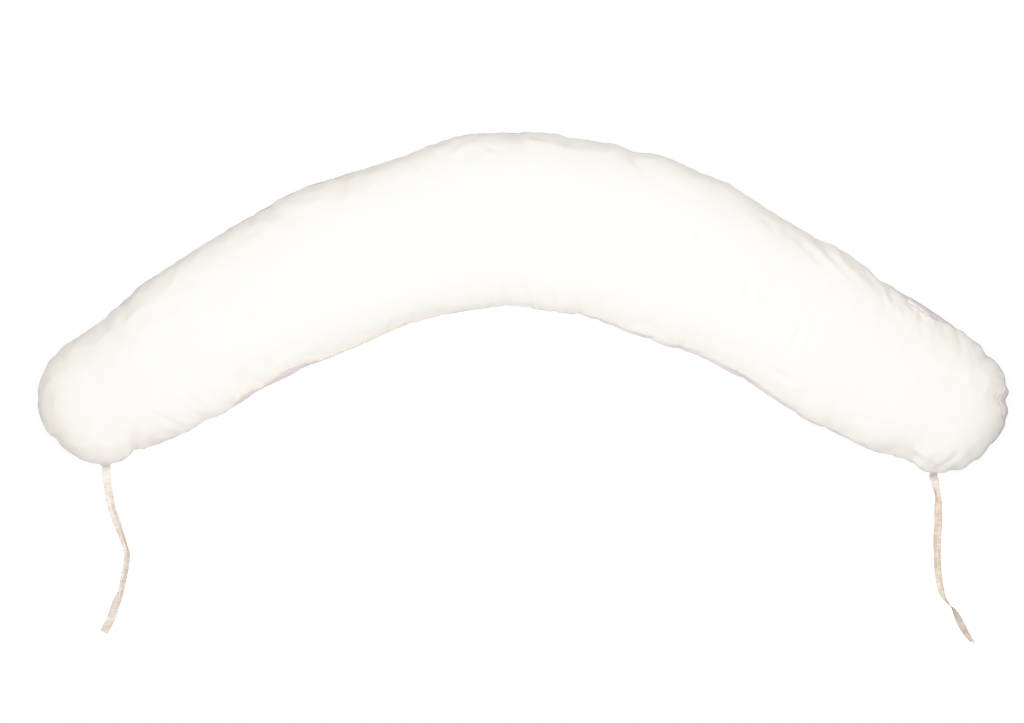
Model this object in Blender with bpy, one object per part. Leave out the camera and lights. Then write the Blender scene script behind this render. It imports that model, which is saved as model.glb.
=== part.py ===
"""Crescent body pillow, lying on its back, with a tape tie in the seam at each end.

Two crescent cotton panels are sewn together edge to edge and stuffed. They make one
filled solid with a crown, sides drawn in to the seam, and the tucks and drag folds that
the seam pulls into the cloth. The two ties are flat woven tapes. Each leaves the end
seam, drops to the surface that the pillow lies on, and trails along it to a free end.

Units are metres, +Z up. The surface is z = 0, and +X runs along the pillow to its right.
"""
import math
from collections import namedtuple

import bmesh
import bpy
from mathutils import Matrix, Vector
from mathutils.bvhtree import BVHTree

# ---------------------------------------------------------------- driving dimensions
GAP = 0.0003               # clearance between a tie's sewn end and the seam it leaves

STATIONS = 148             # cross-sections along the middle line
END_SPOKES = 28            # spokes round each rounded end
TOP_STEPS = 9              # points from the seam up to the middle of the crown
SIDE_STEPS = 5             # points from the seam down to the edge of the resting face
REST_STEPS = 2             # points across half of the resting face

WIDEST_SHARE = 0.44        # height of the widest line and the seam, as a share of the crown
REST_SHARE = 0.60          # half width of the flat resting face, as a share of the section's
CROWN_FULLNESS = 0.86      # below 1 the crown is flatter and the sides rounder
SEAM_PULL = 0.0035         # how far the stitching draws the cloth in at the seam
SEAM_PULL_REACH = 0.006    # how far from the seam the drawing in is felt
TOP_CROWDING = 1.45        # above 1 the sections' points crowd towards the seam
SIDE_CROWDING = 1.5

# A row per section, along the middle line from left to right. x and y place its middle,
# outer and inner are its half widths towards the long and the short edge, crown is its
# height, and rise_outer and rise_inner say how far the seam has rolled up over the side.
Section = namedtuple("Section", "x y outer inner crown rise_outer rise_inner")
SECTIONS = [
    Section(-0.718, -0.008, 0.110, 0.107, 0.136, 0.000, 0.000),
    Section(-0.664, 0.023, 0.113, 0.122, 0.142, 0.000, 0.000),
    Section(-0.607, 0.057, 0.129, 0.131, 0.150, 0.002, 0.006),
    Section(-0.495, 0.126, 0.132, 0.133, 0.158, 0.003, 0.026),
    Section(-0.380, 0.187, 0.138, 0.140, 0.165, 0.002, 0.032),
    Section(-0.262, 0.236, 0.139, 0.140, 0.170, 0.000, 0.022),
    Section(-0.137, 0.275, 0.143, 0.143, 0.174, 0.000, 0.004),
    Section(-0.074, 0.288, 0.150, 0.146, 0.176, 0.003, 0.000),
    Section(-0.009, 0.292, 0.151, 0.147, 0.177, 0.008, 0.000),
    Section(0.057, 0.288, 0.150, 0.148, 0.177, 0.006, 0.000),
    Section(0.120, 0.275, 0.152, 0.148, 0.176, 0.002, 0.000),
    Section(0.244, 0.236, 0.148, 0.151, 0.174, 0.000, 0.003),
    Section(0.361, 0.182, 0.142, 0.140, 0.168, 0.002, 0.006),
    Section(0.475, 0.119, 0.139, 0.141, 0.163, 0.005, 0.004),
    Section(0.586, 0.052, 0.131, 0.135, 0.156, 0.003, 0.000),
    Section(0.648, 0.017, 0.130, 0.131, 0.150, 0.000, 0.000),
    Section(0.701, -0.009, 0.120, 0.119, 0.144, 0.000, 0.000),
]

# The rounded ends. turn is the angle in degrees from the long edge round to the short
# edge, and radius is the seam's distance from the end section's middle.
EndPoint = namedtuple("EndPoint", "turn radius")
LEFT_END = [
    EndPoint(0, 0.109), EndPoint(31, 0.109), EndPoint(61, 0.107), EndPoint(91, 0.108),
    EndPoint(107, 0.109), EndPoint(120, 0.113), EndPoint(138, 0.115), EndPoint(154, 0.118),
    EndPoint(166, 0.117), EndPoint(174, 0.114), EndPoint(180, 0.107),
]
RIGHT_END = [
    EndPoint(0, 0.119), EndPoint(23, 0.116), EndPoint(38, 0.121), EndPoint(56, 0.124),
    EndPoint(68, 0.122), EndPoint(86, 0.127), EndPoint(106, 0.125), EndPoint(128, 0.130),
    EndPoint(150, 0.129), EndPoint(160, 0.128), EndPoint(169, 0.122), EndPoint(180, 0.117),
]

# Tucks and drag folds in the upper panel. Each starts at x, y, most of them on the seam,
# and runs for reach towards heading, in degrees from +X. width is the half width of the
# trough and depth its depth where it starts.
Fold = namedtuple("Fold", "x y reach heading width depth")
FOLDS = [
    # drag folds from the long edge down the right arm
    Fold(0.446, 0.271, 0.095, -48, 0.010, 0.0035),
    Fold(0.497, 0.259, 0.085, -54, 0.009, 0.0045),
    Fold(0.541, 0.235, 0.090, -58, 0.010, 0.0035),
    Fold(0.592, 0.201, 0.100, -64, 0.010, 0.0060),
    Fold(0.641, 0.167, 0.090, -62, 0.010, 0.0045),
    Fold(0.689, 0.134, 0.075, -60, 0.011, 0.0035),
    Fold(0.735, 0.107, 0.070, -100, 0.010, 0.0040),
    # tucks round the right end
    Fold(0.790, 0.065, 0.065, -150, 0.011, 0.0045),
    Fold(0.824, 0.013, 0.060, 178, 0.010, 0.0040),
    Fold(0.826, -0.015, 0.070, 165, 0.010, 0.0055),
    Fold(0.760, -0.119, 0.060, 112, 0.011, 0.0050),
    Fold(0.727, -0.133, 0.055, 100, 0.010, 0.0040),
    Fold(0.665, -0.119, 0.050, 128, 0.009, 0.0055),
    # tucks round the left end
    Fold(-0.795, 0.067, 0.055, -28, 0.012, 0.0035),
    Fold(-0.823, -0.011, 0.050, 4, 0.012, 0.0025),
    Fold(-0.792, -0.083, 0.055, 48, 0.012, 0.0045),
    Fold(-0.662, -0.095, 0.050, 70, 0.009, 0.0050),
    Fold(-0.608, -0.039, 0.055, -25, 0.010, 0.0025),
    # long edge, left arm and middle
    Fold(-0.700, 0.107, 0.070, -40, 0.013, 0.0020),
    Fold(-0.420, 0.303, 0.080, -22, 0.012, 0.0035),
    Fold(-0.140, 0.419, 0.110, 14, 0.011, 0.0040),
    Fold(0.020, 0.441, 0.090, -20, 0.010, 0.0050),
    Fold(0.170, 0.403, 0.070, -52, 0.011, 0.0030),
    # short creases from the short edge, at its middle and on the right arm
    Fold(-0.030, 0.149, 0.050, 128, 0.010, 0.0030),
    Fold(0.060, 0.143, 0.055, 118, 0.010, 0.0030),
    Fold(0.310, 0.071, 0.090, 158, 0.011, 0.0030),
    Fold(0.570, -0.033, 0.090, 152, 0.011, 0.0030),
    # soft creases in the body
    Fold(0.300, 0.271, 0.060, -46, 0.010, 0.0020),
    Fold(0.390, 0.183, 0.060, -60, 0.010, 0.0020),
    Fold(0.474, 0.105, 0.060, -112, 0.010, 0.0020),
]
ROLL_SHARE = 0.45          # height of the rolls beside a trough, as a share of its depth
ROLL_OFFSET = 1.9          # distance of the rolls from the trough, in half widths
FOLD_EDGE = 5.0            # distance from a trough at which it is no longer felt, in half widths
FOLD_LEAD = 1.5            # how soon a trough fades behind its start, in half widths
SIDE_HEIGHT = 0.050        # folds and tucks fade below this height, towards the resting face

# The stuffing's own unevenness: long, low swells in the upper panel.
Swell = namedtuple("Swell", "length heading phase height")
SWELLS = [
    Swell(0.310, 20, 0.6, 0.0018),
    Swell(0.190, -35, 2.1, 0.0013),
    Swell(0.130, 75, 4.0, 0.0008),
]

TAPE_WIDTH = 0.014
TAPE_THICK = 0.0012
TAPE_STEP = 0.006          # spacing of the tape's cross-sections
HEADING_STEPS = 3          # sections each way over which the tape's edges keep their heading

# A tie's middle line after it leaves the seam. z is the height of the tape's lower face
# above the surface, fold is how far its two halves are folded up about the middle line,
# and roll turns the whole tape about its middle line, all in degrees.
TapePoint = namedtuple("TapePoint", "x y z fold roll")
TIE_LEFT = [
    TapePoint(-0.7090, -0.1360, 0.0500, 0, 0),
    TapePoint(-0.7120, -0.1440, 0.0330, 0, 0),
    TapePoint(-0.7150, -0.1510, 0.0150, 0, 0),
    TapePoint(-0.7180, -0.1610, 0.0030, 0, 0),
    TapePoint(-0.7190, -0.1730, 0.0000, 0, 0),
    TapePoint(-0.7170, -0.1870, 0.0000, 0, 0),
    TapePoint(-0.7125, -0.2090, 0.0000, 6, 0),
    TapePoint(-0.7035, -0.2350, 0.0000, 8, 0),
    TapePoint(-0.6970, -0.2520, 0.0000, 6, 0),
    TapePoint(-0.6880, -0.2700, 0.0000, 14, 0),
    TapePoint(-0.6845, -0.2820, 0.0000, 40, 0),
    TapePoint(-0.6855, -0.2970, 0.0000, 54, 0),
    TapePoint(-0.6920, -0.3320, 0.0000, 48, 0),
    TapePoint(-0.6985, -0.3530, 0.0000, 26, 0),
    TapePoint(-0.7070, -0.3760, 0.0000, 8, 0),
    TapePoint(-0.7180, -0.4000, 0.0000, 0, 0),
    TapePoint(-0.7280, -0.4190, 0.0000, 0, 0),
]
TIE_RIGHT = [
    TapePoint(0.7010, -0.1470, 0.0530, 0, 0),
    TapePoint(0.7040, -0.1550, 0.0360, 0, 0),
    TapePoint(0.7080, -0.1620, 0.0170, 0, 0),
    TapePoint(0.7130, -0.1720, 0.0030, 0, 0),
    TapePoint(0.7175, -0.1840, 0.0000, 0, 0),
    TapePoint(0.7205, -0.1990, 0.0000, 0, 0),
    TapePoint(0.7220, -0.2240, 0.0000, 0, 0),
    TapePoint(0.7200, -0.2560, 0.0000, 8, 0),
    TapePoint(0.7200, -0.2920, 0.0000, 8, 0),
    TapePoint(0.7230, -0.3240, 0.0000, 0, 0),
    TapePoint(0.7285, -0.3550, 0.0000, 0, 12),
    TapePoint(0.7390, -0.3700, 0.0000, 0, 66),
    TapePoint(0.7480, -0.3810, 0.0000, 0, 104),
    TapePoint(0.7580, -0.3980, 0.0000, 0, 150),
    TapePoint(0.7680, -0.4160, 0.0000, 0, 174),
    TapePoint(0.7810, -0.4340, 0.0000, 0, 180),
]

SQUARE_CUT = 0.0           # how far each edge of a tie's free end is cut off square
ASKEW_CUT = 0.005

COTTON_COLOUR = (0.93, 0.92, 0.88, 1.0)
TAPE_COLOUR = (0.84, 0.76, 0.67, 1.0)
CLOTH_ROUGHNESS = 0.9


# ---------------------------------------------------------------- shared tools
def clear_scene():
    """Remove every object, so that the file holds the pillow alone."""
    for item in list(bpy.data.objects):
        bpy.data.objects.remove(item, do_unlink=True)


def cloth_material(name, colour):
    """A matt cloth finish of one colour."""
    material = bpy.data.materials.new(name)
    material.use_nodes = True
    shader = material.node_tree.nodes["Principled BSDF"]
    shader.inputs["Base Color"].default_value = colour
    shader.inputs["Roughness"].default_value = CLOTH_ROUGHNESS
    shader.inputs["Metallic"].default_value = 0.0
    return material


def smooth_value(keys, values, key):
    """The value at key on a smooth curve through values, which stand at rising keys."""
    last = len(keys) - 1
    left = 0
    while left < last - 1 and key > keys[left + 1]:
        left += 1
    width = keys[left + 1] - keys[left]

    def slope(index):
        before = max(index - 1, 0)
        after = min(index + 1, last)
        return (values[after] - values[before]) / (keys[after] - keys[before])

    share = min(max((key - keys[left]) / width, 0.0), 1.0)
    square = share * share
    cube = square * share
    return ((2 * cube - 3 * square + 1) * values[left] + (cube - 2 * square + share) * width * slope(left)
            + (3 * square - 2 * cube) * values[left + 1] + (cube - square) * width * slope(left + 1))


def running_lengths(points):
    """Distance along a line of points, from its first to each of them."""
    lengths = [0.0]
    for before, after in zip(points, points[1:]):
        lengths.append(lengths[-1] + (after - before).length)
    return lengths


def add_object(name, shape, material):
    """Turn a bmesh into an object called name, with smooth shading and one material."""
    mesh = bpy.data.meshes.new(name)
    bmesh.ops.recalc_face_normals(shape, faces=shape.faces)
    shape.to_mesh(mesh)
    shape.free()
    mesh.shade_smooth()
    mesh.materials.append(material)
    item = bpy.data.objects.new(name, mesh)
    bpy.context.scene.collection.objects.link(item)
    return item


# ---------------------------------------------------------------- the pillow
# A spoke runs from the middle line out to the seam. hub is the number of its station.
Spoke = namedtuple("Spoke", "hub middle direction half_width crown rise")


def section_reader():
    """A function that gives any column of SECTIONS at a share of the middle line's length."""
    middles = [Vector((row.x, row.y)) for row in SECTIONS]
    keys = running_lengths(middles)

    def read(column, share):
        return smooth_value(keys, [getattr(row, column) for row in SECTIONS], share * keys[-1])

    return read


def end_radius(rows, turn):
    """Radius of a rounded end at a turn from the long edge towards the short edge."""
    return smooth_value([row.turn for row in rows], [row.radius for row in rows], turn)


def turned(direction, degrees):
    """A direction in the plane, turned anticlockwise."""
    angle = math.radians(degrees)
    return Vector((direction.x * math.cos(angle) - direction.y * math.sin(angle),
                   direction.x * math.sin(angle) + direction.y * math.cos(angle)))


def pillow_spokes():
    """Every spoke, clockwise round the seam from the left end of the long edge."""
    read = section_reader()
    nudge = 0.5 / STATIONS
    middles, outwards = [], []
    for station in range(STATIONS + 1):
        share = station / STATIONS
        middles.append(Vector((read("x", share), read("y", share))))
        before, after = max(share - nudge, 0.0), min(share + nudge, 1.0)
        along = Vector((read("x", after) - read("x", before), read("y", after) - read("y", before)))
        outwards.append(turned(along.normalized(), 90))

    def side_spoke(station, sign, width_column, rise_column):
        share = station / STATIONS
        return Spoke(station, middles[station], outwards[station] * sign, read(width_column, share),
                     read("crown", share), read(rise_column, share))

    def end_spoke(station, rows, turn, sense):
        crown = read("crown", station / STATIONS)
        direction = turned(outwards[station], sense * turn)
        return Spoke(station, middles[station], direction, end_radius(rows, turn), crown, 0.0)

    long_edge = [side_spoke(station, 1, "outer", "rise_outer") for station in range(STATIONS + 1)]
    turns = [180 * step / END_SPOKES for step in range(1, END_SPOKES)]
    right_end = [end_spoke(STATIONS, RIGHT_END, turn, -1) for turn in turns]
    short_edge = [side_spoke(station, -1, "inner", "rise_inner") for station in range(STATIONS, -1, -1)]
    left_end = [end_spoke(0, LEFT_END, turn, 1) for turn in reversed(turns)]
    return long_edge + right_end + short_edge + left_end


def side_point(spoke, angle):
    """A point of the section: 90 is the crown, 0 the widest line, -90 the resting face's edge."""
    widest = WIDEST_SHARE * spoke.crown
    if angle >= 0:
        out = math.cos(math.radians(angle)) ** CROWN_FULLNESS
        height = widest + (spoke.crown - widest) * math.sin(math.radians(angle))
    else:
        out = 1 - (1 - REST_SHARE) * (1 - math.cos(math.radians(angle)))
        height = widest * (1 + math.sin(math.radians(angle))) if angle > -90 else 0.0
    place = spoke.middle + spoke.direction * spoke.half_width * out
    return Vector((place.x, place.y, height))


def seam_angle(spoke):
    """Angle on the section at which the seam lies."""
    return math.degrees(math.asin(spoke.rise / ((1 - WIDEST_SHARE) * spoke.crown)))


def spoke_points(spoke):
    """Points from the seam up over the crown, and from the seam down and under."""
    start = seam_angle(spoke)
    upper = []
    for step in range(TOP_STEPS):
        upper.append(side_point(spoke, start + (90 - start) * (step / TOP_STEPS) ** TOP_CROWDING))
    lower = []
    for step in range(1, SIDE_STEPS + 1):
        lower.append(side_point(spoke, start - (start + 90) * (step / SIDE_STEPS) ** SIDE_CROWDING))
    for step in range(1, REST_STEPS):
        place = spoke.middle + spoke.direction * spoke.half_width * REST_SHARE * (1 - step / REST_STEPS)
        lower.append(Vector((place.x, place.y, 0.0)))
    return upper, lower


def fold_depth(fold, place):
    """How far a fold lowers the cloth at a place, below zero where a roll beside it rises."""
    heading = math.radians(fold.heading)
    offset_x, offset_y = place.x - fold.x, place.y - fold.y
    along = offset_x * math.cos(heading) + offset_y * math.sin(heading)
    across = abs(offset_y * math.cos(heading) - offset_x * math.sin(heading))
    if along >= fold.reach or across > FOLD_EDGE * fold.width:
        return 0.0
    if along > 0:
        fade = math.cos(0.5 * math.pi * along / fold.reach) ** 2
    else:
        fade = math.exp(-(along / (FOLD_LEAD * fold.width)) ** 2)
    trough = math.exp(-(across / fold.width) ** 2)
    roll = ROLL_SHARE * math.exp(-((across - ROLL_OFFSET * fold.width) / fold.width) ** 2)
    return fold.depth * fade * (trough - roll)


def swell_height(place):
    """Height of the stuffing's long, low swells at a place."""
    height = 0.0
    for swell in SWELLS:
        heading = math.radians(swell.heading)
        along = place.x * math.cos(heading) + place.y * math.sin(heading)
        height += swell.height * math.sin(2 * math.pi * along / swell.length + swell.phase)
    return height


def make_pillow(material):
    """One filled solid: crown, flat resting face, seam, tucks and drag folds."""
    spokes = pillow_spokes()
    shape = bmesh.new()
    crown_points, rest_points = {}, {}
    for spoke in spokes:
        if spoke.hub not in crown_points:
            crown_points[spoke.hub] = shape.verts.new((spoke.middle.x, spoke.middle.y, spoke.crown))
            rest_points[spoke.hub] = shape.verts.new((spoke.middle.x, spoke.middle.y, 0.0))
    rows, seam_pull = [], {}
    for spoke in spokes:
        upper, lower = spoke_points(spoke)
        points = list(reversed(lower)) + upper
        row = [shape.verts.new(point) for point in points]
        for vertex, point in zip(row, points):
            distance = (point - upper[0]).length
            seam_pull[vertex] = SEAM_PULL * math.exp(-(distance / SEAM_PULL_REACH) ** 2)
        rows.append([rest_points[spoke.hub]] + row + [crown_points[spoke.hub]])
    for row, following in zip(rows, rows[1:] + rows[:1]):
        for step in range(len(row) - 1):
            corners = [row[step], following[step], following[step + 1], row[step + 1]]
            shape.faces.new(list(dict.fromkeys(corners)))
    bmesh.ops.recalc_face_normals(shape, faces=shape.faces)
    shape.normal_update()

    moves = []
    for vertex in shape.verts:
        if vertex.co.z <= 0.0:
            continue
        cloth_share = min(vertex.co.z / SIDE_HEIGHT, 1.0) ** 2
        depth = sum(fold_depth(fold, vertex.co) for fold in FOLDS)
        inward = seam_pull.get(vertex, 0.0) + cloth_share * depth
        upward = max(vertex.normal.z, 0.0)
        moves.append((vertex, swell_height(vertex.co) * upward - inward))
    for vertex, rise in moves:
        vertex.co += vertex.normal * rise
    return add_object("pillow", shape, material)


# ---------------------------------------------------------------- the ties
def seam_seat(pillow, x, seam_height):
    """Where a tie at x leaves the end seam: just clear of the cloth over the tape's width."""
    tree = BVHTree.FromObject(pillow, bpy.context.evaluated_depsgraph_get())
    reach = []
    for side in (-0.5, -0.25, 0.0, 0.25, 0.5):
        for level in (-0.5, 0.5):
            outside = Vector((x + side * TAPE_WIDTH, -1.0, seam_height + level * TAPE_THICK))
            reach.append(tree.ray_cast(outside, Vector((0, 1, 0)))[0].y)
    return Vector((x, min(reach) - GAP, seam_height - 0.5 * TAPE_THICK))


def tape_ring(point, tangent, heading, fold, roll):
    """Six corners of the tape: lower left, middle and right, then upper right to left."""
    side = Vector((-heading.y, heading.x, 0.0)).normalized()
    up = tangent.cross(side).normalized()
    turn = Matrix.Rotation(math.radians(roll), 3, tangent)
    side, up = turn @ side, turn @ up
    bend = math.radians(fold)
    half = 0.5 * TAPE_WIDTH
    left = (side * math.cos(bend) + up * math.sin(bend)) * half
    right = (-side * math.cos(bend) + up * math.sin(bend)) * half
    left_up = (up * math.cos(bend) - side * math.sin(bend)) * TAPE_THICK
    right_up = (up * math.cos(bend) + side * math.sin(bend)) * TAPE_THICK
    middle_up = up * (TAPE_THICK / math.cos(bend))
    corners = [left, Vector((0, 0, 0)), right, right + right_up, middle_up, left + left_up]
    lowest = min(corner.z for corner in corners)
    return [point + corner - Vector((0, 0, lowest)) for corner in corners]


def make_tie(name, pillow, end_section, route, slant, material):
    """A woven tape from the seam to its free end. slant is how far its end is cut askew."""
    seat = seam_seat(pillow, route[0].x, WIDEST_SHARE * end_section.crown)
    rows = [TapePoint(seat.x, seat.y, seat.z, 0, 0)] + route
    places = [Vector((row.x, row.y, row.z)) for row in rows]
    keys = running_lengths(places)
    steps = round(keys[-1] / TAPE_STEP)

    def read(column, key):
        return smooth_value(keys, [getattr(row, column) for row in rows], key)

    centres = []
    for step in range(steps + 1):
        key = keys[-1] * step / steps
        centres.append(Vector((read("x", key), read("y", key), max(read("z", key), 0.0))))
    shape = bmesh.new()
    rings = []
    for step, centre in enumerate(centres):
        tangent = (centres[min(step + 1, steps)] - centres[max(step - 1, 0)]).normalized()
        heading = centres[min(step + HEADING_STEPS, steps)] - centres[max(step - HEADING_STEPS, 0)]
        key = keys[-1] * step / steps
        corners = tape_ring(centre, tangent, heading, read("fold", key), read("roll", key))
        if step == 0:
            corners = [Vector((corner.x, seat.y, corner.z)) for corner in corners]
        if step == steps:
            for index, share in enumerate((1, 0, -1, -1, 0, 1)):
                corners[index] = corners[index] + tangent * slant * share
        rings.append([shape.verts.new(corner) for corner in corners])
    for ring, following in zip(rings, rings[1:]):
        for index in range(6):
            after = (index + 1) % 6
            shape.faces.new((ring[index], ring[after], following[after], following[index]))
    for ring in (rings[0], rings[-1]):
        shape.faces.new((ring[0], ring[1], ring[4], ring[5]))
        shape.faces.new((ring[1], ring[2], ring[3], ring[4]))
    return add_object(name, shape, material)


# ---------------------------------------------------------------- the whole object
def centre_on_origin(items):
    """Move the pieces together, so that the middle of their footprint is the origin."""
    points = [vertex.co for item in items for vertex in item.data.vertices]
    middle_x = 0.5 * (min(point.x for point in points) + max(point.x for point in points))
    middle_y = 0.5 * (min(point.y for point in points) + max(point.y for point in points))
    for item in items:
        item.data.transform(Matrix.Translation((-middle_x, -middle_y, 0.0)))


clear_scene()
cotton = cloth_material("cotton", COTTON_COLOUR)
tape = cloth_material("woven_tape", TAPE_COLOUR)
pillow = make_pillow(cotton)
tie_left = make_tie("tie_left", pillow, SECTIONS[0], TIE_LEFT, SQUARE_CUT, tape)
tie_right = make_tie("tie_right", pillow, SECTIONS[-1], TIE_RIGHT, ASKEW_CUT, tape)
centre_on_origin([pillow, tie_left, tie_right])
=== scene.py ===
import math
from collections import namedtuple

import bpy
import numpy as np
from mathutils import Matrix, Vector
from mathutils.bvhtree import BVHTree


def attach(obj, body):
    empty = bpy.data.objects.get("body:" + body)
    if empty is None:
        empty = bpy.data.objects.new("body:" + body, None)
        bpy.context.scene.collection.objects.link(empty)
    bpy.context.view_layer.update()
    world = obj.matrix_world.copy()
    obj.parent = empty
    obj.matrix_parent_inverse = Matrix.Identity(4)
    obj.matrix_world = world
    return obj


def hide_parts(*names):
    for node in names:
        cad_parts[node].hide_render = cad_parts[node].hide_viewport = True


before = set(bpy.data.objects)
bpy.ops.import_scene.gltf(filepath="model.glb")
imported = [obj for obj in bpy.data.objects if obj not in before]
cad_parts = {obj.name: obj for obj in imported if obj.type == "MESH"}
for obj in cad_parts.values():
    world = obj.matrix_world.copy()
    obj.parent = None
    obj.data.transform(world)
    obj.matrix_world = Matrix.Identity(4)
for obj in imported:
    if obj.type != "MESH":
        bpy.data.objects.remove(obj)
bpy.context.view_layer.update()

# ------------------------------------------------------------------ the view
# The pillow lies flat on its back. The camera hangs three metres over it and looks straight
# down, with the pillow's long edge at the top of the picture.
CAMERA_PLACE = Vector((-0.018, 0.0515, 3.0))
PICTURE_WIDTH = 1.7823     # metres of floor from one side of the picture to the other
SENSOR_WIDTH = 36.0        # millimetres


def put_in_scene(name, data):
    """A new object in the scene, made of a mesh, a lamp or the camera."""
    item = bpy.data.objects.new(name, data)
    bpy.context.scene.collection.objects.link(item)
    return item


camera_data = bpy.data.cameras.new("overhead_camera")
camera_data.sensor_width = SENSOR_WIDTH
camera_data.lens = SENSOR_WIDTH * CAMERA_PLACE.z / PICTURE_WIDTH
camera = put_in_scene("overhead_camera", camera_data)
camera.location = CAMERA_PLACE
bpy.context.scene.camera = camera


# ------------------------------------------------------------------ the pillow's cover
# Two crescent panels of plain woven ivory cotton, sewn together edge to edge, turned right
# side out and stuffed with fibre. The stuffing crowns the panels and draws the sides in, and
# the seam, shorter than the cloth that it holds, gathers it into tucks and drag folds.
WIDEST_SHARE = 0.44        # height of the widest line and the seam, as a share of the crown
REST_SHARE = 0.60          # half width of the flat resting face, as a share of the section's
CROWN_FULLNESS = 0.86      # below 1 the crown is flatter and the sides rounder
STEP_CROWDING = 1.4        # above 1 the sections' points crowd towards the seam

# A row per section, along the middle line from left to right. x and y place its middle,
# outer and inner are its half widths towards the long and the short edge, and crown is its
# height.
Section = namedtuple("Section", "x y outer inner crown")
SECTIONS = [
    Section(-0.718, -0.008, 0.110, 0.107, 0.136),
    Section(-0.664, 0.023, 0.113, 0.122, 0.142),
    Section(-0.607, 0.057, 0.129, 0.131, 0.150),
    Section(-0.495, 0.126, 0.132, 0.133, 0.158),
    Section(-0.380, 0.187, 0.138, 0.140, 0.165),
    Section(-0.262, 0.236, 0.139, 0.140, 0.170),
    Section(-0.137, 0.275, 0.143, 0.143, 0.174),
    Section(-0.074, 0.288, 0.150, 0.146, 0.176),
    Section(-0.009, 0.292, 0.151, 0.147, 0.177),
    Section(0.057, 0.288, 0.150, 0.148, 0.177),
    Section(0.120, 0.275, 0.152, 0.148, 0.176),
    Section(0.244, 0.236, 0.148, 0.151, 0.174),
    Section(0.361, 0.182, 0.142, 0.140, 0.168),
    Section(0.475, 0.119, 0.139, 0.141, 0.163),
    Section(0.586, 0.052, 0.131, 0.135, 0.156),
    Section(0.648, 0.017, 0.130, 0.131, 0.150),
    Section(0.701, -0.009, 0.120, 0.119, 0.144),
]

# How far the seam has rolled up over the side, at sections placed by x.
Rolled = namedtuple("Rolled", "x rise")
LONG_EDGE_SEAM = [
    Rolled(-0.718, 0.003), Rolled(-0.660, 0.010), Rolled(-0.600, 0.017), Rolled(-0.495, 0.008),
    Rolled(-0.400, 0.018), Rolled(-0.330, 0.014), Rolled(-0.262, 0.017), Rolled(-0.190, 0.004),
    Rolled(-0.074, 0.003), Rolled(-0.009, 0.010), Rolled(0.057, 0.006), Rolled(0.120, 0.000),
    Rolled(0.475, 0.002), Rolled(0.540, 0.006), Rolled(0.560, 0.014), Rolled(0.580, 0.028),
    Rolled(0.600, 0.037), Rolled(0.620, 0.040), Rolled(0.640, 0.037), Rolled(0.660, 0.030),
    Rolled(0.685, 0.021), Rolled(0.701, 0.018),
]
SHORT_EDGE_SEAM = [
    Rolled(-0.718, 0.000), Rolled(-0.607, 0.000), Rolled(-0.572, 0.004), Rolled(-0.553, 0.018),
    Rolled(-0.535, 0.027), Rolled(-0.522, 0.022), Rolled(-0.510, 0.016), Rolled(-0.495, 0.022),
    Rolled(-0.467, 0.031), Rolled(-0.440, 0.026), Rolled(-0.420, 0.020), Rolled(-0.390, 0.013),
    Rolled(-0.360, 0.007), Rolled(-0.300, 0.002), Rolled(-0.210, 0.000), Rolled(0.060, 0.000),
    Rolled(0.120, 0.004), Rolled(0.244, 0.012), Rolled(0.361, 0.019), Rolled(0.475, 0.018),
    Rolled(0.586, 0.006), Rolled(0.648, 0.000), Rolled(0.701, 0.000),
]

# How far the seam draws each edge in, at sections placed by x, and below zero lets it out.
Drawn = namedtuple("Drawn", "x inward")
LONG_EDGE_DRAWN = [
    Drawn(-0.718, 0.0015), Drawn(-0.664, 0.0015), Drawn(-0.645, 0.0040), Drawn(-0.615, 0.0088),
    Drawn(-0.585, 0.0045), Drawn(-0.550, 0.0035), Drawn(-0.495, 0.0015), Drawn(-0.410, 0.0025),
    Drawn(-0.380, 0.0015), Drawn(-0.345, -0.0020), Drawn(-0.315, -0.0035), Drawn(-0.285, -0.0010),
    Drawn(-0.262, 0.0015), Drawn(-0.215, 0.0035), Drawn(-0.160, 0.0050), Drawn(-0.137, 0.0035),
    Drawn(-0.105, -0.0010), Drawn(-0.060, 0.0010), Drawn(-0.010, 0.0040), Drawn(0.010, 0.0005),
    Drawn(0.040, 0.0010), Drawn(0.060, 0.0048), Drawn(0.100, 0.0045), Drawn(0.120, 0.0025),
    Drawn(0.150, 0.0045), Drawn(0.185, -0.0015), Drawn(0.244, -0.0005), Drawn(0.290, -0.0033),
    Drawn(0.330, 0.0003), Drawn(0.361, 0.0035), Drawn(0.415, 0.0050), Drawn(0.450, 0.0018),
    Drawn(0.475, -0.0008), Drawn(0.503, 0.0018), Drawn(0.532, 0.0048), Drawn(0.560, 0.0036),
    Drawn(0.600, 0.0015), Drawn(0.660, 0.0030), Drawn(0.680, 0.0004), Drawn(0.701, 0.0000),
]
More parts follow.
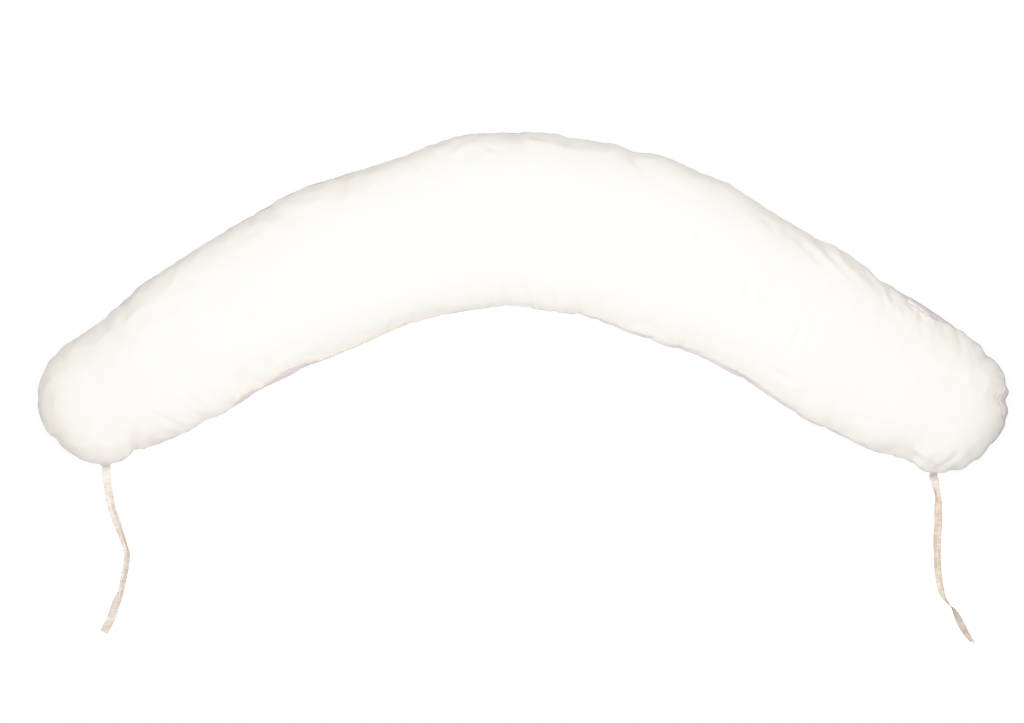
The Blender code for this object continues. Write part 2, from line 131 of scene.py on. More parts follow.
SHORT_EDGE_DRAWN = [
    Drawn(-0.718, 0.0000), Drawn(-0.690, -0.0015), Drawn(-0.664, 0.0003), Drawn(-0.636, 0.0025),
    Drawn(-0.607, 0.0050), Drawn(-0.579, 0.0018), Drawn(-0.545, 0.0018), Drawn(-0.523, 0.0037),
    Drawn(-0.495, 0.0018), Drawn(-0.466, 0.0018), Drawn(-0.437, 0.0052), Drawn(-0.400, 0.0025),
    Drawn(-0.370, 0.0018), Drawn(-0.320, 0.0020), Drawn(-0.270, 0.0040), Drawn(-0.225, 0.0058),
    Drawn(-0.180, 0.0040), Drawn(-0.137, 0.0003), Drawn(-0.060, 0.0000), Drawn(-0.010, 0.0012),
    Drawn(0.030, -0.0025), Drawn(0.090, -0.0025), Drawn(0.118, 0.0003), Drawn(0.151, 0.0050),
    Drawn(0.182, 0.0048), Drawn(0.225, 0.0034), Drawn(0.273, 0.0042), Drawn(0.302, 0.0010),
    Drawn(0.332, 0.0042), Drawn(0.361, 0.0060), Drawn(0.400, 0.0050), Drawn(0.446, 0.0085),
    Drawn(0.490, 0.0055), Drawn(0.530, 0.0012), Drawn(0.558, -0.0017), Drawn(0.586, 0.0014),
    Drawn(0.615, 0.0037), Drawn(0.648, 0.0025), Drawn(0.701, 0.0025),
]

# The rounded ends. turn is the angle in degrees from the long edge round to the short edge,
# radius is the seam's distance from the end section's middle, and rise is as above.
EndPoint = namedtuple("EndPoint", "turn radius rise")
LEFT_END = [
    EndPoint(0, 0.108, 0.000), EndPoint(31, 0.106, 0.000), EndPoint(61, 0.107, 0.000),
    EndPoint(91, 0.108, 0.000), EndPoint(107, 0.106, 0.000), EndPoint(120, 0.108, 0.000),
    EndPoint(138, 0.114, 0.000), EndPoint(154, 0.116, 0.000), EndPoint(166, 0.115, 0.000),
    EndPoint(174, 0.112, 0.000), EndPoint(180, 0.107, 0.000),
]
RIGHT_END = [
    EndPoint(0, 0.119, 0.018), EndPoint(23, 0.116, 0.020), EndPoint(38, 0.121, 0.020),
    EndPoint(56, 0.124, 0.030), EndPoint(68, 0.122, 0.048), EndPoint(86, 0.127, 0.028),
    EndPoint(106, 0.125, 0.017), EndPoint(128, 0.130, 0.008), EndPoint(150, 0.129, 0.000),
    EndPoint(160, 0.128, 0.000), EndPoint(169, 0.122, 0.000), EndPoint(180, 0.116, 0.000),
]

# How finely the cover is laid out: cross-sections along the middle line, spokes round each
# end, and points from the seam to the crown, down the side, and under to the middle.
Fineness = namedtuple("Fineness", "stations end_spokes top side rest")
SETTLING = Fineness(stations=244, end_spokes=46, top=26, side=14, rest=2)
FINISHED = Fineness(stations=500, end_spokes=94, top=56, side=20, rest=2)


def smooth_curve(keys, values, places):
    """Values at places on a smooth curve through a table's values, which stand at rising keys."""
    keys, values, places = (np.asarray(item, float) for item in (keys, values, places))
    across = (slice(None),) + (None,) * (values.ndim - 1)
    index = np.arange(len(keys))
    before, after = np.maximum(index - 1, 0), np.minimum(index + 1, len(keys) - 1)
    slope = (values[after] - values[before]) / (keys[after] - keys[before])[across]
    left = np.clip(np.searchsorted(keys, places, side="left") - 1, 0, len(keys) - 2)
    width = keys[left + 1] - keys[left]
    share = np.clip((places - keys[left]) / width, 0.0, 1.0)[across]
    width = width[across]
    square, cube = share ** 2, share ** 3
    return ((2 * cube - 3 * square + 1) * values[left]
            + (cube - 2 * square + share) * width * slope[left]
            + (3 * square - 2 * cube) * values[left + 1]
            + (cube - square) * width * slope[left + 1])


def running_lengths(points):
    """Distance along a line of points, from its first to each of them."""
    return np.concatenate([[0.0], np.cumsum(np.linalg.norm(np.diff(points, axis=0), axis=1))])


def column(rows, name):
    """One named column of a table."""
    return np.array([getattr(row, name) for row in rows])


def read_table(rows, key, name, places):
    """One named column of a table at places, on a smooth curve along its key column."""
    return smooth_curve(column(rows, key), column(rows, name), places)


def turned(directions, degrees):
    """Plane directions, turned anticlockwise."""
    angle = np.radians(degrees)
    x, y = directions[..., 0], directions[..., 1]
    return np.stack([x * np.cos(angle) - y * np.sin(angle), x * np.sin(angle) + y * np.cos(angle)], -1)


def mesh_object(name, points, faces):
    """A new object in the scene, with a smooth mesh of the points and faces."""
    mesh = bpy.data.meshes.new(name)
    mesh.from_pydata(points, [], faces)
    mesh.shade_smooth()
    return put_in_scene(name, mesh)


def read_mesh(rows, name, width, kind=np.float32):
    """One property of every point, edge or corner of a mesh, in width columns."""
    found = np.zeros(len(rows) * width, kind)
    rows.foreach_get(name, found)
    return found.reshape(-1, width)


class Cover:
    """The stuffed cover as rows of points, a row for each spoke, from under the middle to the crown."""

    def __init__(self, fineness):
        self.fineness = fineness
        stations = np.arange(fineness.stations + 1)
        keys = running_lengths(np.stack([column(SECTIONS, "x"), column(SECTIONS, "y")], 1))
        along = keys[-1] * stations / fineness.stations
        read = {name: smooth_curve(keys, column(SECTIONS, name), along) for name in Section._fields}
        middle = np.stack([read["x"], read["y"]], 1)
        heading = np.gradient(middle, axis=0)
        outward = turned(heading / np.linalg.norm(heading, axis=1)[:, None], 90)

        turns = 180.0 * np.arange(1, fineness.end_spokes) / fineness.end_spokes
        right, left = np.full(len(turns), fineness.stations), np.zeros(len(turns), int)
        back = stations[::-1]
        self.hub = np.concatenate([stations, right, back, left])
        self.middle = middle[self.hub]
        self.direction = np.concatenate([outward, turned(outward[right], -turns), -outward[back],
                                         turned(outward[left], turns[::-1])])

        def all_round(long_edge, short_edge, name):
            right_end = read_table(RIGHT_END, "turn", name, turns)
            left_end = read_table(LEFT_END, "turn", name, turns)[::-1]
            return np.concatenate([long_edge, right_end, short_edge[back], left_end])

        outer = read["outer"] - read_table(LONG_EDGE_DRAWN, "x", "inward", read["x"])
        inner = read["inner"] - read_table(SHORT_EDGE_DRAWN, "x", "inward", read["x"])
        self.half_width = all_round(outer, inner, "radius")
        rise = all_round(read_table(LONG_EDGE_SEAM, "x", "rise", read["x"]),
                         read_table(SHORT_EDGE_SEAM, "x", "rise", read["x"]), "rise")
        self.crown = read["crown"][self.hub]
        self.seam_angle = np.degrees(np.arcsin(rise / ((1 - WIDEST_SHARE) * self.crown)))
        self.seam_step = fineness.rest + fineness.side
        self.round_share = np.concatenate([
            stations / fineness.stations, 1 + turns / 180,
            2 + stations / fineness.stations, 3 + turns / 180])
        self.up_share = np.concatenate([
            np.arange(fineness.rest) / fineness.rest, 1 + np.arange(fineness.side) / fineness.side,
            2 + np.arange(fineness.top + 1) / fineness.top])
        self.points = np.stack([self.points_at(share) for share in self.up_share], 1)
        self.index_rows()

    def points_at(self, share):
        """A ring of points: 0 is under the middle, 1 the resting face's edge, 2 the seam, 3 the crown."""
        if share < 1:
            place = self.middle + self.direction * (self.half_width * REST_SHARE * share)[:, None]
            return np.column_stack([place, np.zeros(len(place))])
        if share < 2:
            angle = self.seam_angle - (self.seam_angle + 90) * (2 - share) ** STEP_CROWDING
        else:
            angle = self.seam_angle + (90 - self.seam_angle) * (share - 2) ** STEP_CROWDING
        widest = WIDEST_SHARE * self.crown
        sine, cosine = np.sin(np.radians(angle)), np.maximum(np.cos(np.radians(angle)), 0.0)
        out = np.where(angle >= 0, cosine ** CROWN_FULLNESS, 1 - (1 - REST_SHARE) * (1 - cosine))
        height = np.where(angle >= 0, widest + (self.crown - widest) * sine, widest * (1 + sine))
        place = self.middle + self.direction * (self.half_width * out)[:, None]
        return np.column_stack([place, height])

    def up_row(self):
        """How far up its row every point lies, over the cloth from under the middle."""
        gaps = np.linalg.norm(np.diff(self.points, axis=1), axis=2)
        return np.concatenate([np.zeros((len(gaps), 1)), np.cumsum(gaps, axis=1)], axis=1)

    def flat_cloth(self):
        """Where every point lies on its panel before sewing, by spoke and step."""
        up_row = self.up_row()
        on_back = np.arange(up_row.shape[1]) < self.seam_step
        from_middle = np.where(on_back, up_row, up_row[:, [-1]] - up_row)
        return self.middle[:, None] + self.direction[:, None] * from_middle[..., None]

    def index_rows(self):
        """Number the points, the spokes that meet at a hub sharing one point there."""
        spokes, steps = self.points.shape[:2]
        self.index = np.zeros((spokes, steps), int)
        self.index[:, 1:-1] = np.arange(spokes * (steps - 2)).reshape(spokes, steps - 2)
        self.index[:, 0] = spokes * (steps - 2) + self.hub
        self.index[:, -1] = self.index[:, 0] + self.fineness.stations + 1
        self.first_use = np.unique(self.index.ravel(), return_index=True)[1]

    def gather(self, by_row):
        """Values given by spoke and step, as one list in the order of the mesh's points."""
        return by_row.reshape(-1, *by_row.shape[2:])[self.first_use]

    def make_object(self, name):
        """A closed mesh of the rows of points."""
        faces = []
        for row, after in zip(self.index.tolist(), np.roll(self.index, -1, axis=0).tolist()):
            for step in range(len(row) - 1):
                corners = [row[step], row[step + 1], after[step + 1], after[step]]
                faces.append(list(dict.fromkeys(corners)))
        return mesh_object(name, self.gather(self.points).tolist(), faces)

    def normals(self, item):
        """The normals of the object's points, by spoke and step."""
        return read_mesh(item.data.vertex_normals, "vector", 3)[self.index].astype(float)

    def set_points(self, item, points):
        """Move the object's points to places given by spoke and step."""
        self.points = points
        item.data.vertices.foreach_set("co", self.gather(points).ravel())
        item.data.update()


# Tucks and drag folds in the upper panel. Each starts at x, y, most of them on the seam,
# and runs for reach towards heading, in degrees from +X. width is the half width of the
# trough and depth its depth where it starts.
Fold = namedtuple("Fold", "x y reach heading width depth")
FOLDS = [
    # drag folds from the long edge down the right arm
    Fold(0.405, 0.288, 0.110, -44, 0.007, 0.0007),
    Fold(0.438, 0.273, 0.120, -46, 0.008, 0.0010),
    Fold(0.463, 0.254, 0.100, -48, 0.006, 0.0008),
    Fold(0.497, 0.259, 0.110, -50, 0.008, 0.0011),
    Fold(0.508, 0.234, 0.120, -50, 0.006, 0.0010),
    Fold(0.541, 0.235, 0.120, -53, 0.008, 0.0012),
    Fold(0.541, 0.221, 0.080, -46, 0.005, 0.0006),
    Fold(0.566, 0.212, 0.100, -54, 0.005, 0.0006),
    Fold(0.592, 0.203, 0.110, -58, 0.009, 0.0010),
    Fold(0.575, 0.196, 0.080, -49, 0.006, 0.0006),
    Fold(0.583, 0.181, 0.095, -58, 0.005, 0.0005),
    Fold(0.613, 0.165, 0.050, -75, 0.005, 0.0006),
    Fold(0.619, 0.163, 0.090, -61, 0.006, 0.0007),
    Fold(0.641, 0.167, 0.095, -60, 0.009, 0.0010),
    Fold(0.650, 0.148, 0.060, -50, 0.005, 0.0007),
    Fold(0.668, 0.134, 0.060, -56, 0.005, 0.0006),
    Fold(0.689, 0.134, 0.075, -60, 0.010, 0.0010),
    Fold(0.735, 0.107, 0.070, -100, 0.009, 0.0013),
    # tucks round the right end
    Fold(0.790, 0.065, 0.065, -150, 0.009, 0.0024),
    Fold(0.824, 0.013, 0.060, 178, 0.008, 0.0022),
    Fold(0.826, -0.015, 0.070, 165, 0.008, 0.0034),
    Fold(0.815, -0.045, 0.055, 150, 0.006, 0.0014),
    Fold(0.760, -0.119, 0.060, 112, 0.009, 0.0018),
    Fold(0.727, -0.133, 0.055, 100, 0.008, 0.0011),
    Fold(0.703, -0.130, 0.060, 50, 0.006, 0.0018),
    Fold(0.730, -0.130, 0.060, 52, 0.007, 0.0008),
    Fold(0.665, -0.119, 0.050, 128, 0.008, 0.0034),
    Fold(0.664, -0.114, 0.035, -40, 0.006, 0.0024),
    # tucks round the left end
    Fold(-0.795, 0.067, 0.055, -28, 0.009, 0.0010),
    Fold(-0.823, -0.011, 0.050, 4, 0.009, 0.0010),
    Fold(-0.792, -0.083, 0.055, 48, 0.009, 0.0026),
    Fold(-0.662, -0.095, 0.050, 70, 0.008, 0.0032),
    Fold(-0.608, -0.039, 0.055, -25, 0.009, 0.0010),
    # long edge, left arm and middle
    Fold(-0.700, 0.107, 0.070, -40, 0.012, 0.0014),
    Fold(-0.420, 0.303, 0.080, -22, 0.011, 0.0018),
    Fold(-0.140, 0.419, 0.110, 14, 0.010, 0.0020),
    Fold(-0.111, 0.411, 0.050, 18, 0.006, 0.0016),
    Fold(-0.058, 0.405, 0.028, -14, 0.005, 0.0014),
    Fold(-0.150, 0.339, 0.030, -8, 0.006, 0.0014),
    Fold(-0.200, 0.345, 0.150, 10, 0.030, 0.0022),
    Fold(0.020, 0.441, 0.090, -20, 0.010, 0.0026),
    Fold(0.015, 0.429, 0.042, -12, 0.006, 0.0024),
    Fold(0.068, 0.421, 0.110, -9, 0.007, 0.0018),
    Fold(0.170, 0.403, 0.070, -45, 0.010, 0.0012),
    # short creases from the short edge, at its middle, on the right arm and on the left
    Fold(-0.055, 0.157, 0.045, 106, 0.006, 0.0014),
    Fold(-0.030, 0.153, 0.060, 108, 0.006, 0.0018),
    Fold(0.012, 0.145, 0.065, 110, 0.006, 0.0020),
    Fold(0.055, 0.140, 0.055, 112, 0.006, 0.0018),
    Fold(0.095, 0.133, 0.055, 116, 0.006, 0.0020),
    Fold(0.128, 0.133, 0.045, 114, 0.006, 0.0016),
    Fold(0.310, 0.071, 0.090, 158, 0.008, 0.0014),
    Fold(0.570, -0.033, 0.090, 152, 0.008, 0.0014),
    Fold(0.161, 0.117, 0.135, -9, 0.006, 0.0014),
    Fold(0.270, 0.098, 0.130, -16, 0.006, 0.0014),
    Fold(0.558, -0.045, 0.100, -11, 0.006, 0.0014),
    Fold(-0.600, -0.045, 0.050, -24, 0.006, 0.0008),
    Fold(-0.570, 0.004, 0.055, -37, 0.006, 0.0009),
    # soft creases in the body
    Fold(0.286, 0.266, 0.065, -47, 0.006, 0.0026),
    Fold(0.296, 0.213, 0.060, -42, 0.006, 0.0031),
    Fold(0.336, 0.176, 0.030, 10, 0.006, 0.0021),
    Fold(0.372, 0.180, 0.035, -103, 0.006, 0.0026),
    Fold(0.396, 0.157, 0.048, -51, 0.006, 0.0026),
    Fold(0.458, 0.104, 0.060, -115, 0.006, 0.0031),
    Fold(0.190, 0.262, 0.040, -135, 0.006, 0.0021),
    Fold(0.425, 0.029, 0.050, -22, 0.006, 0.0023),
]
ROLL_SHARE = 0.45          # height of the rolls beside a fold's trough, as a share of its depth
ROLL_OFFSET = 1.9          # distance of the rolls from the trough, in half widths
FOLD_LEAD = 1.5            # how soon a trough fades behind its start, in half widths
SIDE_HEIGHT = 0.050        # folds and tucks fade below this height, towards the resting face

# The stuffing's own unevenness: long, low swells in the upper panel.
Swell = namedtuple("Swell", "length heading phase height")
SWELLS = [
    Swell(0.310, 20, 0.6, 0.0018),
    Swell(0.190, -35, 2.1, 0.0013),
    Swell(0.130, 75, 4.0, 0.0008),
]


def averaged(item, values, rounds):
    """The object's points' values, each replaced by its neighbours' mean, again and again."""
    first, second = read_mesh(item.data.edges, "vertices", 2, np.int32).T
    starts, others = np.concatenate([first, second]), np.concatenate([second, first])
    neighbours = np.bincount(starts)[:, None]
    for _ in range(rounds):
        sums = [np.bincount(starts, values[others, axis]) for axis in range(values.shape[1])]
        values = np.stack(sums, 1) / neighbours
    return values


BLEND_REACH = 0.050        # how far from an end section the cloth is blended into the rounded end
BLEND_ROUNDS = 60
BLEND_FULL = 2.25          # how far up the rows the blending reaches full strength: 2 is the seam


def blend_ends(cover, item):
    """Smooth the upper panel where the straight run of sections meets each rounded end."""
    weight = np.zeros(cover.points.shape[:2])
    for end, before in ((SECTIONS[0], SECTIONS[1]), (SECTIONS[-1], SECTIONS[-2])):
        section = np.array([end.x, end.y])
        toward = section - np.array([before.x, before.y])
        beyond = (cover.points[..., :2] - section) @ (toward / np.linalg.norm(toward))
        weight += np.exp(-(beyond / BLEND_REACH) ** 2)
    weight *= np.clip((cover.up_share - 2.0) / (BLEND_FULL - 2.0), 0, 1)
    weight = cover.gather(weight)[:, None]
    points = cover.gather(cover.points)
    for _ in range(BLEND_ROUNDS):
        points = points + weight * (averaged(item, points, 1) - points)
    cover.set_points(item, points[cover.index])


def distance_along(heading, points):
    """How far points lie along a heading, which is in radians from +X."""
    return points[..., 0] * math.cos(heading) + points[..., 1] * math.sin(heading)


def trough_and_rolls(across, width, roll_share):
    """A fold's section: 1 in the trough, and below zero where a roll stands beside it."""
    trough = np.exp(-(across / width) ** 2)
    roll = roll_share * np.exp(-((across - ROLL_OFFSET * width) / width) ** 2)
    return trough - roll


def fold_depths(fold, points):
    """How far a fold lowers the cloth, below zero where a roll beside it rises."""
    heading = math.radians(fold.heading)
    offset = points[..., :2] - np.array([fold.x, fold.y])
    along = distance_along(heading, offset)
    across = np.abs(offset[..., 1] * math.cos(heading) - offset[..., 0] * math.sin(heading))
    fade = np.where(along > 0, np.cos(0.5 * math.pi * np.clip(along / fold.reach, 0, 1)) ** 2,
                    np.exp(-(along / (FOLD_LEAD * fold.width)) ** 2))
    return fold.depth * fade * trough_and_rolls(across, fold.width, ROLL_SHARE)


def swell_heights(points):
    """Height of the stuffing's long, low swells."""
    height = np.zeros(points.shape[:-1])
    for swell in SWELLS:
        along = distance_along(math.radians(swell.heading), points)
        height += swell.height * np.sin(2 * math.pi * along / swell.length + swell.phase)
    return height


def fold_cover(cover, item):
    """Press the swells, tucks and drag folds into the cover."""
    blend_ends(cover, item)
    points, normals = cover.points, cover.normals(item)
    cloth_share = np.minimum(points[..., 2] / SIDE_HEIGHT, 1.0) ** 2
    depth = sum(fold_depths(fold, points) for fold in FOLDS)
    move = swell_heights(points) * np.maximum(normals[..., 2], 0.0) - cloth_share * depth
    move[points[..., 2] <= 0.0] = 0.0
    cover.set_points(item, points + normals * move[..., None])


# The stuffing pushes the cloth outwards against the seam, which holds still, as does the
# face that the pillow rests on. The cloth is cut a little larger than the form it fills.
SPARE_CLOTH = 0.02         # how much larger, as a share of its size
STUFFING_PRESSURE = 4.0
SETTLING_FRAMES = 20
SETTLING_QUALITY = 3


def settle_cover(cover, item):
    """How the cloth moves when the stuffing presses on it, by spoke and step."""
    held = item.vertex_groups.new(name="held")
    still = cover.gather(cover.points)[:, 2] <= 0.0
    held.add([int(number) for number in np.flatnonzero(still)], 1.0, "ADD")
    held.add([int(number) for number in cover.index[:, cover.seam_step]], 1.0, "ADD")
    filled = item.modifiers.new("stuffing", "CLOTH")
    cloth = filled.settings
    cloth.quality = SETTLING_QUALITY
    cloth.use_pressure = True
    cloth.uniform_pressure_force = STUFFING_PRESSURE
    cloth.effector_weights.gravity = 0.0
    cloth.vertex_group_mass = "held"
    cloth.shrink_min = -SPARE_CLOTH
    filled.collision_settings.use_collision = False
    filled.point_cache.frame_start = 1
    filled.point_cache.frame_end = SETTLING_FRAMES
    for number in range(1, SETTLING_FRAMES + 1):
        bpy.context.scene.frame_set(number)
    settled = item.evaluated_get(bpy.context.evaluated_depsgraph_get())
    found = read_mesh(settled.data.vertices, "co", 3)
    bpy.context.scene.frame_set(1)
    return found[cover.index].astype(float) - cover.points


SMOOTHING_ROUNDS = 80      # rounds of averaging that tell a move's wrinkles from its swelling
SWELLING_KEPT = 0.25       # share of the swelling that is kept, so that the pillow keeps its size
WRINKLES_KEPT = 0.55
FURTHEST_MOVE = 0.008
CROWN_SHARE = 0.25         # share of a move that is left at the crown, where the cloth is drawn taut
CROWN_FADE = (2.15, 2.65)  # how far up the rows it falls to that share: 2 is the seam, 3 the crown
SMALLEST_MOVE = 1e-9       # keeps a point that hasn't moved from being divided by nothing


def capped_move(item, move):
    """The wrinkles of a move, with a share of its swelling, and no point moved too far."""
    swelling = averaged(item, move, SMOOTHING_ROUNDS)
    kept = WRINKLES_KEPT * (move - swelling) + SWELLING_KEPT * swelling
    length = np.linalg.norm(kept, axis=1, keepdims=True)
    return kept * FURTHEST_MOVE * np.tanh(length / FURTHEST_MOVE) / np.maximum(length, SMALLEST_MOVE)


def laid_onto(values, coarse, fine):
    """Values given by spoke and step of one cover, as smooth values on another's."""
    keys = np.concatenate([[coarse.round_share[-1] - 4], coarse.round_share, [4]])
    padded = np.concatenate([values[-1:], values, values[:1]])
    around = smooth_curve(keys, padded, fine.round_share)
    return smooth_curve(coarse.up_share, around.swapaxes(0, 1), fine.up_share).swapaxes(0, 1)


# The seam: the stitching draws the cloth in, and the spare cloth beside it stands in small
# gathers, strongest round the left end and at the middle of the short edge.
SEAM_PULL = 0.0027         # how far the stitching draws the cloth in
SEAM_PULL_REACH = 0.0040   # how far from the seam the drawing in is felt
GATHER_SPACING = 0.013
SPACING_SPREAD = (0.4, 1.6)     # a space between two gathers, as a share of the usual one
GATHER_REACH = (0.012, 0.048)
REACH_SPREAD = (0.4, 1.0)  # and how much of its reach a gather has
GATHER_WIDTH = (0.0026, 0.0050)
GATHER_DEPTH = (0.0003, 0.0012)
GATHER_LEAN = 0.7          # how far a gather may lean over, for its reach
GATHER_ROLL = 0.5          # height of the small rolls beside a gather, as a share of its depth
GATHER_START = -0.004      # where a gather begins, measured from the seam
GATHER_RISE = 0.006        # and over what length it reaches its depth
GATHER_FADING = 1.5        # above 1 a gather is deepest close to the seam
GATHER_EDGE = 5            # distance from a gather at which it is no longer felt, in half widths
FLOOR_FADE = 0.030         # gathers and creases fade below this height, towards the resting face

# How much of the gathers shows, round the seam from the left end of the long edge: 0 to 1
# is the long edge, 1 to 2 the right end, 2 to 3 the short edge, 3 to 4 the left end.
Gathering = namedtuple("Gathering", "round_share strength")
GATHERING = [
    Gathering(0.00, 0.7), Gathering(0.20, 0.45), Gathering(0.45, 0.6), Gathering(0.60, 0.6),
    Gathering(0.75, 0.5), Gathering(1.00, 0.6), Gathering(2.00, 0.8), Gathering(2.15, 0.7),
    Gathering(2.45, 0.9), Gathering(2.60, 0.9), Gathering(2.80, 0.6), Gathering(3.00, 1.0),
    Gathering(4.00, 0.9),
]


def seam_distances(cover):
    """How far every point lies round the seam, and up from it, below zero on the back panel."""
    seam = cover.points[:, cover.seam_step]
    around = np.repeat(running_lengths(seam)[:, None], cover.points.shape[1], axis=1)
    up_row = cover.up_row()
    return around, up_row - up_row[:, [cover.seam_step]]


def off_floor(cover):
    """How much of the gathers and creases shows, by how high the cloth is off the floor."""
    return np.clip(cover.points[..., 2] / FLOOR_FADE, 0, 1)


def sew_seam(cover, item):
    """Draw the cloth in along the seam, and gather it beside the seam."""
    around, up = seam_distances(cover)
    seam = cover.points[:, cover.seam_step]
    total = around[-1, 0] + np.linalg.norm(seam[0] - seam[-1])
    drawn = SEAM_PULL * np.exp(-(up / SEAM_PULL_REACH) ** 2)
    dice = np.random.default_rng(11)
    place = 0.0
    while place < total:
        place += GATHER_SPACING * dice.uniform(*SPACING_SPREAD)
        for panel in (1, -1):
            reach = dice.uniform(*GATHER_REACH) * dice.uniform(*REACH_SPREAD)
            width = dice.uniform(*GATHER_WIDTH)
            depth = dice.uniform(*GATHER_DEPTH)
            lean = dice.uniform(-GATHER_LEAN, GATHER_LEAN)
            away = panel * up
            offset = (around - place - lean * np.maximum(away, 0) + total / 2) % total - total / 2
            across = np.abs(offset)
            near = (across < GATHER_EDGE * width) & (away > GATHER_START) & (away < reach)
            fade = (1 - np.clip(away[near] / reach, 0, 1)) ** GATHER_FADING
            fade *= np.clip((away[near] - GATHER_START) / GATHER_RISE, 0, 1)
            share = cover.round_share[near.nonzero()[0]]
            strength = np.interp(share, column(GATHERING, "round_share"), column(GATHERING, "strength"))
            drawn[near] += depth * strength * fade * trough_and_rolls(across[near], width, GATHER_ROLL)
    drawn *= off_floor(cover)
    cover.set_points(item, cover.points - cover.normals(item) * drawn[..., None])


# The opening that the stuffing went in by, in the short edge of the left arm, is closed
# from outside: its folded edge laps up over the upper panel as a low welt, and stands out
# furthest at its lip.
CLOSING_FROM, CLOSING_TO = -0.504, -0.123     # the opening's ends, by x
CLOSING_FADE = 0.030       # length over which the welt runs out at each end
WELT_WIDTH = 0.026
WELT_TAPER = 0.4           # width of the welt's two ends, as a share of its full width
WELT_UNEVEN = 0.12         # how far its width wavers, as a share of its full width
WELT_WAVES = (0.021, 0.013)     # metres to the radian of the two waves in it
WELT_LIP = 0.0050          # how far the lip stands out
WELT_STEP = 0.0006         # how far the welt's other edge stands out
LIP_ROUNDING = 0.0022      # how far from the seam the lip stands out in full
LIP_FULLNESS = 0.7         # below 1 the lip is rounder
LIP_COLOUR_START = 0.0015  # how far from the seam the welt's colour is at its full depth
WELT_SLOPE = 0.0030        # width over which the welt's other edge comes down to the panel
WELT_EDGE = 0.006          # width of the two lines of wear and stitching along the welt's edges
MIDDLE_SHADE = 0.25        # depth of the welt's colour between them


def welt_shares(cover):
    """How much of the closing welt each point belongs to, and how far it stands out there."""
    _, up = seam_distances(cover)
    ends = cover.points[:, cover.seam_step, 0]
    inside = np.clip(np.minimum(ends - CLOSING_FROM, CLOSING_TO - ends) / CLOSING_FADE, 0, 1) ** 0.5
    inside *= (cover.round_share > 2) & (cover.round_share < 3)
    wavering = np.sin(ends / WELT_WAVES[0]) * np.cos(ends / WELT_WAVES[1])
    width = WELT_WIDTH * (1 - WELT_UNEVEN + WELT_UNEVEN * wavering)
    width = (width * (WELT_TAPER + (1 - WELT_TAPER) * inside))[:, None]
    on_welt = inside[:, None] * np.clip((width - up) / WELT_SLOPE, 0, 1)
    edge = np.exp(-(np.minimum(up, width - up) / WELT_EDGE) ** 2)
    share = on_welt * np.clip(up / LIP_COLOUR_START, 0, 1) * (MIDDLE_SHADE + (1 - MIDDLE_SHADE) * edge)
    height = WELT_STEP + (WELT_LIP - WELT_STEP) * np.clip(1 - up / width, 0, 1)
    height *= on_welt * np.clip(up / LIP_ROUNDING, 0, 1) ** LIP_FULLNESS
    return share, height


# The cloth's own crumple: fine, faint creases where it has been folded and washed. They lie
# along the lines where long waves, laid over each other at random, cancel out.
CRUMPLE_LAYERS = 3
CRUMPLE_LENGTHS = (0.040, 0.120)
CRUMPLE_WAVES = 26
CRUMPLE_HEIGHT = 0.0004
CRUMPLE_LEVEL = 0.8        # the waves' mean size, taken off so that the cloth stays where it is
CREASE_SOFTNESS = 0.02


def crumple(cover, item):
    """Work the fine creases into the cloth."""
    dice = np.random.default_rng(5)
    flat = cover.flat_cloth()
    height = np.zeros(flat.shape[:2])
    for _ in range(CRUMPLE_LAYERS):
        noise = np.zeros(flat.shape[:2])
        for _ in range(CRUMPLE_WAVES):
            heading, phase = dice.uniform(0, 2 * math.pi, 2)
            length = dice.uniform(*CRUMPLE_LENGTHS)
            noise += np.sin(2 * math.pi * distance_along(heading, flat) / length + phase)
        noise *= math.sqrt(2 / CRUMPLE_WAVES)
        height += CRUMPLE_HEIGHT * (CRUMPLE_LEVEL - np.sqrt(noise ** 2 + CREASE_SOFTNESS))
    height *= off_floor(cover)
    cover.set_points(item, cover.points + cover.normals(item) * height[..., None])


cover = Cover(FINISHED)
pillow = cover.make_object("pillow_cover")
flat_cloth = cover.flat_cloth()
fold_cover(cover, pillow)
draft = Cover(SETTLING)
draft_pillow = draft.make_object("settling_cover")
fold_cover(draft, draft_pillow)
draft_move = capped_move(draft_pillow, draft.gather(settle_cover(draft, draft_pillow)))
felt = np.interp(cover.up_share, CROWN_FADE, (1.0, CROWN_SHARE))
move = laid_onto(draft_move[draft.index], draft, cover) * felt[None, :, None]
cover.set_points(pillow, cover.points + move)
bpy.data.objects.remove(draft_pillow, do_unlink=True)
crumple(cover, pillow)
sew_seam(cover, pillow)
welt, welt_height = welt_shares(cover)
cover.set_points(pillow, cover.points + cover.normals(pillow) * welt_height[..., None])
above_floor = cover.points.copy()
above_floor[..., 2] = np.maximum(above_floor[..., 2], 0.0)
cover.set_points(pillow, above_floor)


# The cloth's finish follows the panels as they were cut, so the weave runs straight in them.
THREAD_PITCH = 0.0006      # spacing of the threads of the weave
FRONT_COLOUR = (0.88, 0.852, 0.792, 1)
FRONT_DEEPER = (0.870, 0.835, 0.765, 1)
# the back panel's colour is partly a mauve cast of its own and partly painted shade, darkened for the
# underside that turns away below the seam
BACK_MAUVE_AND_SHADE = (0.73, 0.665, 0.662, 1)
WELT_COLOUR = (0.82, 0.715, 0.640, 1)
SLUB_STRETCHES = ((60.0, 1500.0, 1.0), (1500.0, 60.0, 1.0))     # along the warp, along the weft
WEAVE_SHARE = 0.35         # height of the weave beside that of its slubs
PANEL_BLUR = 0.002         # over what width the back panel's colour, with its painted shade, sets in below the seam
